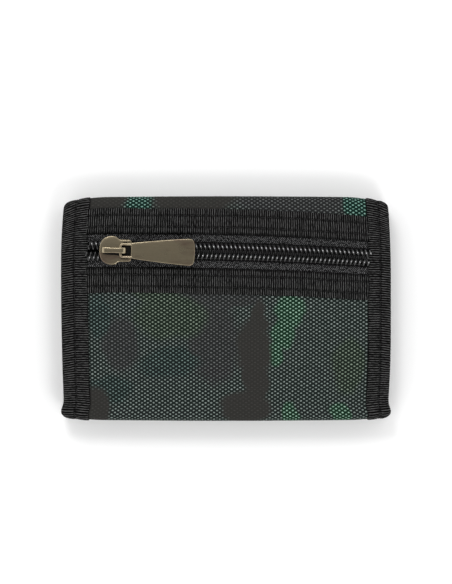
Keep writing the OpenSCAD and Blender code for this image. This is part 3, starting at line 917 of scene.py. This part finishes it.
def trim(node, mouth_v, depth, side, body):
    """Grosgrain folded over a pocket's mouth, with a row of stitches along it."""
    name = node + "_tape"
    across = np.linspace(-52.0, 52.0, round(104 / RIB_PITCH * 4))
    profile = [(-5.0, 0.0), (-4.8, 0.28), (-2.4, 0.24), (-0.4, 0.30), (0.15, 0.15), (0.3, -0.15),
               (0.15, -0.42), (-0.4, -0.52), (-4.8, -0.50), (-5.0, -0.32)]
    offset, height = np.array(profile).T
    x, along = np.meshgrid(across, mouth_v + side * offset, indexing="ij")
    inset = depth(x, along) + POCKET_T + height
    rib = 0.03 * np.cos(2 * math.pi * x / RIB_PITCH) * (height > 0.1)
    points = place(x, along, -inset - rib)
    lengths = np.concatenate([[0], np.cumsum(np.hypot(np.diff(offset), np.diff(height)))])
    uv = np.stack([np.broadcast_to(lengths, x.shape), x], -1)
    tape = swept(name, points[:, ::-1], uv[:, ::-1])
    finish_piece(tape, BAND, "binding_tape", body=body, stands_for=[node])

    def on_trim(a, out):
        row = np.full_like(a, mouth_v - side * 3.9)
        return place(a, row, -depth(a, row) - POCKET_T - 0.28 - out)

    sewn = stitches(name + "_stitches", on_trim, -51.5, 51.5, 2.6, 1.8, 0.14)
    finish_piece(sewn, THREAD, "binding_tape", body=body)


# ---- Side and end bindings ----

def depths(v, *knots):
    """A smooth curve of depth along v, through (v, depth) knots."""
    places, values = np.array(knots, float).T
    line = np.interp(v, places, values)
    return (np.interp(v - 1.5, places, values) + 2 * line + np.interp(v + 1.5, places, values)) / 4


def left_thickness(v):
    return depths(v, (INNER_END_V, 1.7), (-48, 1.65), (-38, 1.7), (-30, 2.85), (30, 2.85), (38, 2.2),
                  (58, 2.2), (68, 1.65), (OUTER_END_V, 1.65))


def right_outer_thickness(v):
    return depths(v, (INNER_END_V, 1.7), (-40, 1.7), (-33, 1.15), (33, 1.15), (39, 0.65), (57, 0.65),
                  (66, 1.0), (OUTER_END_V, 1.0))


def right_inner_thickness(v):
    return depths(v, (-38, 0.5), (-31, 1.45), (31, 1.45), (38, 0.4), (OUTER_END_V, 0.4))


def right_inner_depth(v):
    return depths(v, (-38, 1.65), (-31, 2.6), (31, 2.6), (38, 1.8), (58, 1.8), (67, 2.3), (OUTER_END_V, 2.3))


def bound_edge(name, side, v_from, v_to, thickness, depth, leg, seam, bend, nodes, slant=0.0):
    """One stretch of a side binding with the stitches that hold it, on both of its faces."""
    v = tape_steps(v_from, v_to)
    tape = binding(name, side_place(side), v, thickness(v), depth(v), leg, seam, slant)
    finish_piece(tape, BINDING, "binding_tape", bend=bend, stands_for=nodes)
    x = side * (HALF_W - seam)
    low, high = min(v_from, v_to), max(v_from, v_to)
    front = stitches(name + "_stitches", lambda a, out: place(x, a, 0.30 - depth(a) + out), low, high)
    back = stitches(name + "_back_stitches",
                    lambda a, out: place(x, a, -0.30 - depth(a) - thickness(a) - out), low, high)
    for sewn in (front, back):
        finish_piece(sewn, THREAD, "binding_tape", bend=bend)


def end_binding(name, end_v, side, thickness, body, node):
    """The binding over a flap's free end. side is 1 on the outer flap and -1 on the inner flap."""
    along = tape_steps(-53.5 * side, 55 * side)
    flat = np.zeros_like(along)
    tape = binding(name, lambda inset, a, out: place(a, end_v - side * inset, out), along, flat + thickness,
                   flat, END_LEG, END_SEAM)
    finish_piece(tape, BINDING, "binding_tape", body=body, stands_for=[node])
    row = end_v - side * END_SEAM
    front = stitches(name + "_stitches", row_across(row, 0.30), -52, 53.5)
    back = stitches(name + "_back_stitches", row_across(row, -0.30 - thickness, -1), -52, 53.5)
    for sewn in (front, back):
        finish_piece(sewn, THREAD, "binding_tape", body=body)


def bindings():
    """The tape round both long sides of the strip, split where the bodies meet, and round its free ends. On
    the right the banknote compartment opens, so the shell and what lies behind it are bound apart."""
    left = dict(side=-1, thickness=left_thickness, depth=np.zeros_like, leg=LEFT_LEG, seam=LEFT_SEAM,
                slant=0.16)
    right = dict(side=1, thickness=right_outer_thickness, depth=np.zeros_like, leg=RIGHT_LEG,
                 seam=RIGHT_SEAM, slant=0.1)
    mouth = dict(side=1, thickness=right_inner_thickness, depth=right_inner_depth, leg=RIGHT_LEG,
                 seam=RIGHT_SEAM)
    for edge, name, v_from, v_to, bend, nodes in (
            (left, "left_back_upper", 0, OUTER_MID_V, OUTER_TOP, ["back_binding_left"]),
            (left, "left_back_lower", INNER_MID_V, 0, INNER_TOP, []),
            (left, "left_outer_flap", OUTER_MID_V, OUTER_END_V, OUTER_BASE,
             ["outer_fold_binding_left", "outer_flap_binding_left"]),
            (left, "left_inner_flap", INNER_END_V, INNER_MID_V, INNER_BASE,
             ["inner_fold_binding_left", "inner_flap_binding_left"]),
            (right, "right_back_upper", 0, OUTER_MID_V, OUTER_TOP, ["back_binding_right_outer"]),
            (right, "right_back_lower", INNER_MID_V, 0, INNER_TOP, []),
            (right, "right_outer_flap", OUTER_MID_V, OUTER_END_V, OUTER_BASE,
             ["outer_fold_binding_right_outer", "outer_flap_binding_right_outer"]),
            (right, "right_inner_flap", INNER_END_V, INNER_MID_V, INNER_BASE,
             ["inner_fold_binding_right", "inner_flap_binding_right"]),
            (mouth, "mouth_back", -36, OUTER_MID_V, OUTER_TOP, ["back_binding_right_inner"]),
            (mouth, "mouth_outer_flap", OUTER_MID_V, OUTER_END_V - 1, OUTER_BASE,
             ["outer_fold_binding_right_inner", "outer_flap_binding_right_inner"])):
        bound_edge("binding_" + name, v_from=v_from, v_to=v_to, bend=bend, nodes=nodes, **edge)
    end_binding("binding_outer_end", OUTER_END_V, 1, 1.65, "outer_flap", "outer_flap_binding_end")
    end_binding("binding_inner_end", INNER_END_V, -1, 1.7, "inner_flap", "inner_flap_binding_end")


# ---- Zip ----

ZIP_LEFT = -HALF_W + LEFT_LEG - 0.6
ZIP_RIGHT = HALF_W - RIGHT_LEG + 0.5
BAND_RIB_PITCH = 0.84
UPPER_AND_LOWER = (("upper", 1), ("lower", -1))


def zip_bands():
    """A ribbon over each edge of the zip's tape, sewn down along both of its edges."""
    across_steps = np.array([0, 0.12, 0.5, 1.6, 2.6, 3.6, 4.75, 5.9, 6.9, 7.9, 9.0, 9.38, BAND_W])
    relief = np.array([0.10, 0.50, 0.55, 0.42, 0.12, 0.42, 0.52, 0.42, 0.12, 0.42, 0.52, 0.42, 0.06])
    along_steps = np.linspace(ZIP_LEFT, ZIP_RIGHT, round((ZIP_RIGHT - ZIP_LEFT) / BAND_RIB_PITCH * 4))
    along, across = np.meshgrid(along_steps, across_steps, indexing="ij")
    rib = 0.04 * np.cos(2 * math.pi * along / BAND_RIB_PITCH)
    uv = np.stack([across, along * RIB_PITCH / BAND_RIB_PITCH], -1)
    for row, side in UPPER_AND_LOWER:
        wander = 0.10 * np.sin(along / 11 + side) + 0.05 * np.sin(along / 3.7)
        place_at = side * (BAND_INNER + across) + wander
        edge_lift = (0.40 if side > 0 else 0.06) * np.exp(-across / 1.2)
        top = on_zip(along, place_at, relief + rib + edge_lift)
        under = on_zip(along, place_at, 0.02 + edge_lift * 0.6)
        name = f"zip_band_{row}_ribbon"
        piece = between(name, top, under, uv, flipped=side > 0)
        finish_piece(piece, BAND, "binding_tape", body="back_panel", stands_for=["zip_band_" + row])
        for seam, offset in BAND_SEAMS.items():
            seam_at = side * (BAND_INNER + offset)
            piece = stitches(f"{name}_{seam}_stitches", lambda a, out: on_zip(a, seam_at, 0.16 + out),
                             ZIP_LEFT + 1, ZIP_RIGHT - 1, STITCH_PITCH, 2.0, 0.15)
            finish_piece(piece, THREAD, "binding_tape", body="back_panel")


def zip_tapes():
    """The two tapes of the zip, whose outer edges lie under the bands."""
    across_steps = np.array([0.5, 1.2, 2.4, 3.4, 3.9, 4.6, 5.4, 6.4, 8, 11])
    relief = np.array([-0.1, -0.05, 0.0, 0.02, 0.10, 0.14, 0.10, 0.02, -0.03, -0.05])
    along, across = np.meshgrid(np.linspace(ZIP_LEFT, ZIP_RIGHT, 90), across_steps, indexing="ij")
    for row, side in UPPER_AND_LOWER:
        top = on_zip(along, side * across, relief - 0.03)
        under = on_zip(along, side * across, -0.45)
        piece = between(f"zip_tape_{row}_cloth", top, under, np.stack([across, along], -1), flipped=side > 0)
        finish_piece(piece, TWILL, "zip_tape", body="back_panel", stands_for=["zip_tape_" + row])


COIL_OPEN_X = -45.0                 # left of here, behind the slider, the chain is open
WIRE_R = 0.34
WIRE_WIDENED = 1.35                 # the wire is flattened, so it is wider along the zip than across it

# One turn of the coil: distance from the zip's centre line and height over the shell's face.
COIL_LOOP = [(1.35, 1.50), (0.85, 1.02), (0.25, 0.48), (-0.3, 0.16), (-0.2, -0.04), (0.6, 0.0), (1.6, 0.1),
             (2.9, 0.3), (3.12, 0.6), (2.7, 1.08), (2.15, 1.52), (1.75, 1.72)]


def parted(along):
    """How far each row of the coil stands off the centre line, where the chain is open."""
    return 0.85 * smooth((COIL_OPEN_X - along) / 3)


def zip_coils():
    """Two rows of moulded coil, whose heads mesh on the centre line, each sewn down by a chain of thread."""
    turns = int((ZIP_RIGHT - ZIP_LEFT) / COIL_PITCH)
    loop = rounded(COIL_LOOP, 2)
    reach, height = np.tile(loop, (turns, 1)).T
    advance = COIL_PITCH * np.arange(len(reach)) / len(loop)
    for row, side in UPPER_AND_LOWER:
        along = ZIP_LEFT + advance + (COIL_PITCH / 2 if side > 0 else 0)
        line = on_zip(along, side * (reach + parted(along)), height)
        radius = WIRE_R + 0.05 * mound(reach / 0.8)
        name = f"zip_coil_{row}_row"
        piece = tube(name, line, radius, np.array([1.0, 0.0, 0.0]), widened=WIRE_WIDENED)
        finish_piece(piece, COIL, "zip_coil", body="back_panel", stands_for=["zip_coil_" + row])
        piece = stitches(name + "_chain", lambda a, out: on_zip(a, side * (2.75 + parted(a)), 1.36 + out),
                         ZIP_LEFT + 1, ZIP_RIGHT - 1, COIL_PITCH, 1.4, 0.24, 0.16)
        finish_piece(piece, COIL_THREAD, "zip_coil", body="back_panel")


# ---- Slider and pull ----

PIVOT = np.array(JOINTS["pull_tab_swing"]["pos_m"]) / MM
SLIDE = np.array(JOINTS["zip_slide"]["axis"])
UP = np.array([0, 0, 1.0])
PIVOT_U = 2.6                       # from the slider's middle to the pull's pivot
WING_TOP = span("slider_bail", Z)[0]    # the slider's top plate
WING_T = 1.1


def on_slider(u, w, z):
    """A point u along the slider from its middle, w across it and at height z."""
    side = np.array([-SLIDE[1], SLIDE[0], 0])
    origin = np.array([PIVOT[0], PIVOT[1], 0]) - PIVOT_U * SLIDE
    along, across, up = np.multiply.outer(u, SLIDE), np.multiply.outer(w, side), np.multiply.outer(z, UP)
    return origin + along + across + up


def plate(name, outline_points, low, high, bevel, dome=0.0):
    """A thin plate with rounded edges and a slightly domed top."""
    ahead = np.roll(outline_points, -1, axis=0) - np.roll(outline_points, 1, axis=0)
    normal = np.stack([ahead[:, 1], -ahead[:, 0]], -1)
    normal /= np.linalg.norm(normal, axis=1, keepdims=True)
    centre = outline_points.mean(0)
    below = np.radians(np.linspace(-90, 0, 4))
    above = np.radians(np.linspace(0, 90, 5))
    insets = bevel * (1 - np.cos(np.concatenate([below, above])))
    heights = np.concatenate([low + bevel * (1 + np.sin(below)), high - bevel * (1 - np.sin(above))])
    loops = [(outline_points - normal * inset, height) for inset, height in zip(insets, heights)]
    for share in (0.85, 0.65, 0.4, 0.15):
        shrunk = centre + (outline_points - normal * bevel - centre) * share
        loops.append((shrunk, high + dome * (1 - share * share)))
    points = [on_slider(loop[:, 0], loop[:, 1], np.full(len(loop), height)) for loop, height in loops]
    return swept(name, np.array(points))


def slider():
    """The slider's body: a shield-shaped top plate, a near-black sheet on it for the lock pin's slot and for
    painted shade under the bail and inside the pull's eye, the lower plate, the flanges at its sides and the
    post between the plates."""
    low = span("slider_body", Z)[0]
    shield = mirrored([(-5.5, 0.0), (-5.4, 2.1), (-4.4, 4.1), (-2.5, 5.25), (-0.4, 5.45), (0.9, 5.1),
                       (1.6, 4.3), (3.0, 4.05), (5.2, 4.15), (6.3, 4.0), (6.6, 3.0), (6.6, 0.0)])
    shield = rounded(shield[::-1])
    top = plate("slider_top_plate", shield, WING_TOP - WING_T, WING_TOP - 0.12, 0.26, 0.12)
    finish_piece(top, BRONZE, "bronze_metal", body="slider", stands_for=["slider_body"])
    parts = [(plate("slider_lower_plate", shield * 0.96, low, low + 1.0, 0.3), BRONZE)]
    for row, side in UPPER_AND_LOWER:
        rail = np.array([(0.2, 0.0), (5.6, 0.0), (6.0, 0.17), (5.6, 0.34), (0.2, 0.34), (-0.2, 0.17)])
        rail = rounded((rail * (1, -side) + (0, side * 4.15))[::side], 2)[::-1]
        flange = plate("slider_flange_" + row, rail, FACE_Z + 0.4, WING_TOP - WING_T + 0.05, 0.08)
        parts.append((flange, BRONZE))
    # A near-black sheet over the top plate: the lock pin's slot, and painted shade in the gaps under the bail
    # and round the inside of the pull's eye.
    slot = rounded([(-4.5, -1.75), (2.5, -1.75), (2.5, -3.2), (6.4, -3.2), (6.4, 3.25), (2.5, 3.25),
                    (2.5, 0.2), (-4.5, 0.2)], 2)
    parts.append((plate("slider_slot_and_gap_shade", slot, WING_TOP - 0.3, WING_TOP + 0.02, 0.02), GAP_SHADE))
    post = rounded([(-4.3, -0.35), (-2.5, -0.35), (-2.5, 0.35), (-4.3, 0.35)], 2)
    parts.append((plate("slider_post", post, low + 0.5, WING_TOP - 0.5, 0.05), BRONZE))
    for piece, material in parts:
        finish_piece(piece, material, "bronze_metal", body="slider")


def ribbon_solid(name, path, half_width, half_thickness):
    """A flat-topped bar along a path in the slider's u, z plane, with a half width at each point."""
    forward = np.gradient(path, axis=0)
    forward /= np.linalg.norm(forward, axis=1, keepdims=True)
    normal = np.stack([-forward[:, 1], forward[:, 0]], -1)
    w, rise = rounded([(-1, -1), (-1, 0.5), (-0.82, 1), (0.82, 1), (1, 0.5), (1, -1)], 2).T
    u = path[:, None, 0] + normal[:, None, 0] * rise * half_thickness
    z = path[:, None, 1] + normal[:, None, 1] * rise * half_thickness
    return swept(name, on_slider(u, w * half_width[:, None], z))


def bail():
    """The bridge that the pull hangs from: two feet and an arched bar."""
    half_t = 0.36
    top = span("slider_bail", Z)[1] - half_t - 0.02
    left, right, corner = -4.45, 4.35, 1.25
    turn = np.linspace(0, math.pi / 2, 8)
    path = [(left, WING_TOP - 0.25), (left, WING_TOP + 0.3)]
    path += [(left + corner - corner * math.cos(a), top - corner + corner * math.sin(a)) for a in turn]
    bar = np.linspace(left + corner + 0.4, right - corner - 0.4, 7)
    path += [(u, top + 0.05 * mound(u / 4)) for u in bar]
    path += [(right - corner + corner * math.sin(a), top - corner + corner * math.cos(a)) for a in turn]
    path += [(right, WING_TOP + 0.3), (right, WING_TOP - 0.25)]
    path = np.array(path)
    width = 1.12 - 0.16 * mound((path[:, 0] - (left + right) / 2) / 4)
    piece = ribbon_solid("slider_bail_bar", path, width, half_t)
    finish_piece(piece, BRONZE, "bronze_metal", body="slider", stands_for=["slider_bail"])


def pull_tab():
    """A flat cast tab: a rectangular eye that turns under the bail, then a plate that widens to its end."""
    reach = 27.6
    half_t = 0.55
    tab_outline = mirrored([(3.9, 0.0), (3.9, 2.7), (4.6, 3.02), (11.0, 3.75), (18.0, 4.5),
                            (reach - 2.6, 5.05), (reach - 0.7, 4.95), (reach, 3.6), (reach + 0.15, 1.6),
                            (reach + 0.2, 0.0)])
    tab_outline = rounded(tab_outline[::-1]) + (PIVOT_U, 0)
    tab = plate("pull_tab_plate", tab_outline, PIVOT[2] - half_t, PIVOT[2] + half_t - 0.06, 0.24, 0.06)
    eye = np.array([(4.6, 2.38), (0.6, 2.38), (0.05, 2.1), (-0.12, 1.4), (-0.12, -1.4), (0.05, -2.1),
                    (0.6, -2.38), (4.6, -2.38)])
    steps = np.linspace(0, 1, 9)[:-1, None]
    eye = np.concatenate([mix(a, b, steps) for a, b in zip(eye[:-1], eye[1:])] + [eye[-1:]])
    line = on_slider(eye[:, 0] + PIVOT_U, eye[:, 1], np.full(len(eye), PIVOT[2]))
    ring = tube("pull_tab_eye", line, 0.5, UP, sides=12)
    piece = joined("pull_tab_plate", [tab, ring])
    finish_piece(piece, BRONZE, "bronze_metal", body="pull", stands_for=["pull_tab"])


# ---- Window and closure ----

def window():
    """A clear film behind a sewn frame, on the outer flap's inner face."""
    low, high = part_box("id_window_film")
    half_x = high[X] / MM
    v0, v1 = outer_flap_v(high[Y] / MM), outer_flap_v(low[Y] / MM)
    face = span("id_window_film", Z)[0] - OUTER_FLAP_Z
    border = 6.5

    x, v = panel_grid(-half_x + 0.5, half_x - 0.5, np.linspace(v0 + 0.5, v1 - 0.5, 24), 4)
    bow = 0.25 * mound(x / half_x) * mound((v - (v0 + v1) / 2) / ((v1 - v0) / 2))
    film = layer("id_window_sheet", x, v, face + 0.02 + bow, 0.18)
    finish_piece(film, FILM, "window_film", body="outer_flap", stands_for=["id_window_film"])

    # How far in from the frame's edge, how high over the lining, and how far round the tape.
    profile = [(0.0, 0.05, 0.0), (0.15, 0.38, 0.15), (1.5, 0.44, 1.5), (border - 1.5, 0.44, border - 1.5),
               (border - 0.15, 0.38, border - 0.15), (border, 0.22, border), (border - 0.3, 0.02, border + 6),
               (0.3, 0.0, 2 * border + 6)]
    loops = []
    for inset, height, _ in profile:
        frame_x, frame_v = rounded_frame(half_x - inset, v0 + inset, v1 - inset, 1.2)
        loops.append(place(frame_x, frame_v, -face - height))
    points = np.array(loops + loops[:1])
    travel = np.concatenate([[0], np.cumsum(np.linalg.norm(np.diff(points[0], axis=0), axis=1))])
    round_tape = [part[2] for part in profile] + [2 * border + 12]
    uv = np.stack(np.meshgrid(round_tape, travel, indexing="ij"), -1)
    faces = [quad[::-1] for quad in grid_faces(*points.shape[:2])]
    tape = mesh("id_window_border", points, faces, uv)
    finish_piece(tape, BAND, "binding_tape", body="outer_flap", stands_for=["id_window_frame"])

    over_tape = -face - 0.42
    for name, inset in (("outer", 1.4), ("inner", border - 1.4)):
        end = half_x - inset
        far, near = v0 + inset, v1 - inset
        for row, locate, start, stop in (
                ("far", row_across(far, over_tape, -1), -end, end),
                ("left", row_along(-end, over_tape, -1), far, near),
                ("near", row_across(near, over_tape, -1), -end, end),
                ("right", row_along(end, over_tape, -1), far, near)):
            piece = stitches(f"window_{name}_stitches_{row}", locate, start, stop, 2.6, 1.8, 0.14)
            finish_piece(piece, THREAD, "binding_tape", body="outer_flap")


def rounded_frame(half_x, v0, v1, radius):
    """x and v round a rectangle with rounded corners, evenly enough for a ribbed tape."""
    turn = np.linspace(0, math.pi / 2, 6)
    middle = (v0 + v1) / 2
    half_v = (v1 - v0) / 2
    corners = []
    for quarter, (side_x, side_v) in enumerate(((1, 1), (-1, 1), (-1, -1), (1, -1))):
        angle = turn + quarter * math.pi / 2
        x = side_x * (half_x - radius) + radius * np.cos(angle)
        v = middle + side_v * (half_v - radius) + radius * np.sin(angle)
        corners.append(np.stack([x, v], -1))
    closed = np.concatenate(corners + [corners[0][:1]])
    parts = []
    for a, b in zip(closed[:-1], closed[1:]):
        count = 1 if np.linalg.norm(b - a) < 2 else 40
        parts.append(a + (b - a) * (np.arange(count) / count)[:, None])
    return np.concatenate(parts).T


def closure():
    """The hook patch on the outer flap's inner face, and the loop patch on the inner flap's outer face."""
    hook_depth = span("hook_patch", Z)[0] - OUTER_FLAP_Z
    patch("hook_patch", "outer_flap", HOOK, "hook_tape", outer_flap_v, -1, hook_depth, (1.15, 1.0), 0.42)
    patch("loop_patch", "inner_flap", LOOP, "loop_tape", inner_flap_v, 1, 0.0, (0.95, 0.85), 0.2)


def patch(node, body, material, slot, to_v, side, depth, pile_pitch, pile_height):
    """A patch of hook or loop tape, on the shell's outer face (side 1) or on a flap's inner face (-1) that
    lies depth under it."""
    name = node + "_tape"
    low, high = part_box(node)
    half_x = high[X] / MM
    v_low, v_high = sorted((to_v(low[Y] / MM), to_v(high[Y] / MM)))
    x, v = panel_grid(-half_x, half_x, np.linspace(v_low, v_high, 12), 3)
    rim = np.minimum(half_x - np.abs(x), np.minimum(v - v_low, v_high - v))
    top = place(x, v, side * (depth + 0.36 + 0.1 * smooth(rim / 0.8)))
    under = place(x, v, side * depth)
    outer, inner = (top, under) if side > 0 else (under, top)
    piece = between(name, outer, inner, np.stack([x, v], -1), flipped=side > 0)
    finish_piece(piece, material, slot, body=body, stands_for=[node])

    pile_x = np.arange(-half_x + 2.2, half_x - 2, pile_pitch[0])
    pile_v = np.arange(v_low + 2.2, v_high - 2, pile_pitch[1])
    x, v = (part.ravel() for part in np.meshgrid(pile_x, pile_v))
    x = x + random.uniform(-0.2, 0.2, len(x))
    v = v + random.uniform(-0.15, 0.15, len(v))
    piece = tufts(name + "_pile", x, v, side * (depth + 0.45), side * pile_height)
    finish_piece(piece, material, slot, body=body)


def tufts(name, x, v, base, height):
    """Small bent loops of thread that stand on a patch."""
    thread_w = 0.09
    t = np.linspace(0, 1, 5)
    lean = random.uniform(0, 2 * math.pi, len(x))[:, None]
    run = abs(height) * 0.9 * (t - 0.3)
    tuft_x = x[:, None] + np.cos(lean) * run
    tuft_v = v[:, None] + np.sin(lean) * run
    out = base + height * np.sin(math.pi * (0.08 + 0.8 * t))
    line = place(tuft_x, tuft_v, out)
    beside = place(tuft_x - np.sin(lean) * thread_w, tuft_v + np.cos(lean) * thread_w, out)
    raised = place(tuft_x, tuft_v, out + thread_w * np.sign(height))
    points = np.stack([line, beside, raised], 2)
    faces = []
    for i in range(len(x)):
        faces += grid_faces(len(t), 3, i * len(t) * 3)
    uv = np.stack(np.broadcast_arrays(x[:, None, None], v[:, None, None], np.zeros(points.shape[:3]))[:2], -1)
    return mesh(name, points, faces, uv)


# ---- Stage ----

VIEW_HEIGHT = 220.2169              # what the camera sees at its distance from the wallet's face
CAMERA_DISTANCE = 896.0
VIEW_CENTRE = (0.1, 6.25)
FLOOR_HALF_W = 1500.0


def white_floor():
    corners = [(x * FLOOR_HALF_W, y * FLOOR_HALF_W, 0) for x, y in ((-1, -1), (1, -1), (1, 1), (-1, 1))]
    floor = mesh("floor", corners, [[0, 1, 2, 3]], smooth_shaded=False)
    g = Graph("floor_paper", roughness=0.9)
    g.set("Base Color", (0.96, 0.96, 0.96))
    floor.data.materials.append(g.material)


def studio_world():
    """White light from all round, and much less of it from straight above."""
    world = bpy.data.worlds.new("studio")
    bpy.context.scene.world = world
    world.use_nodes = True
    nodes, links = world.node_tree.nodes, world.node_tree.links
    height = nodes.new("ShaderNodeSeparateXYZ")
    links.new(nodes.new("ShaderNodeTexCoord").outputs["Generated"], height.inputs[0])
    strength = nodes.new("ShaderNodeMapRange")
    links.new(height.outputs[2], strength.inputs[0])
    for key, value in (("From Min", 0.70), ("From Max", 0.90), ("To Min", 1.32), ("To Max", 0.22)):
        strength.inputs[key].default_value = value
    links.new(strength.outputs[0], nodes["Background"].inputs["Strength"])
    nodes["Background"].inputs["Color"].default_value = (1, 1, 1, 1)


def lights():
    """Two square lights high on opposite sides, aimed at the wallet."""
    for name, position, power in (("key_light", (-0.20, 0.58, 0.84), 2.8),
                                  ("fill_light", (0.30, -0.60, 0.80), 2.0)):
        lamp = bpy.data.lights.new(name, "AREA")
        lamp.size = 0.28
        lamp.energy = power
        placed = bpy.data.objects.new(name, lamp)
        placed.location = position
        placed.rotation_mode = "QUATERNION"
        placed.rotation_quaternion = (-Vector(position)).to_track_quat("-Z", "Y")
        bpy.context.scene.collection.objects.link(placed)


def camera():
    """The photo's view, from straight above."""
    view = bpy.data.cameras.new("camera")
    view.sensor_width = 36.0
    view.lens = view.sensor_width * CAMERA_DISTANCE / VIEW_HEIGHT
    placed = bpy.data.objects.new("camera", view)
    placed.location = Vector((*VIEW_CENTRE, FACE_Z + CAMERA_DISTANCE)) * MM
    bpy.context.scene.collection.objects.link(placed)
    bpy.context.scene.camera = placed
    bpy.context.scene.view_settings.view_transform = "Standard"


shell_pieces()
inside_layers()
bindings()
zip_tapes()
zip_bands()
zip_coils()
slider()
bail()
pull_tab()
window()
closure()
white_floor()
studio_world()
lights()
camera()
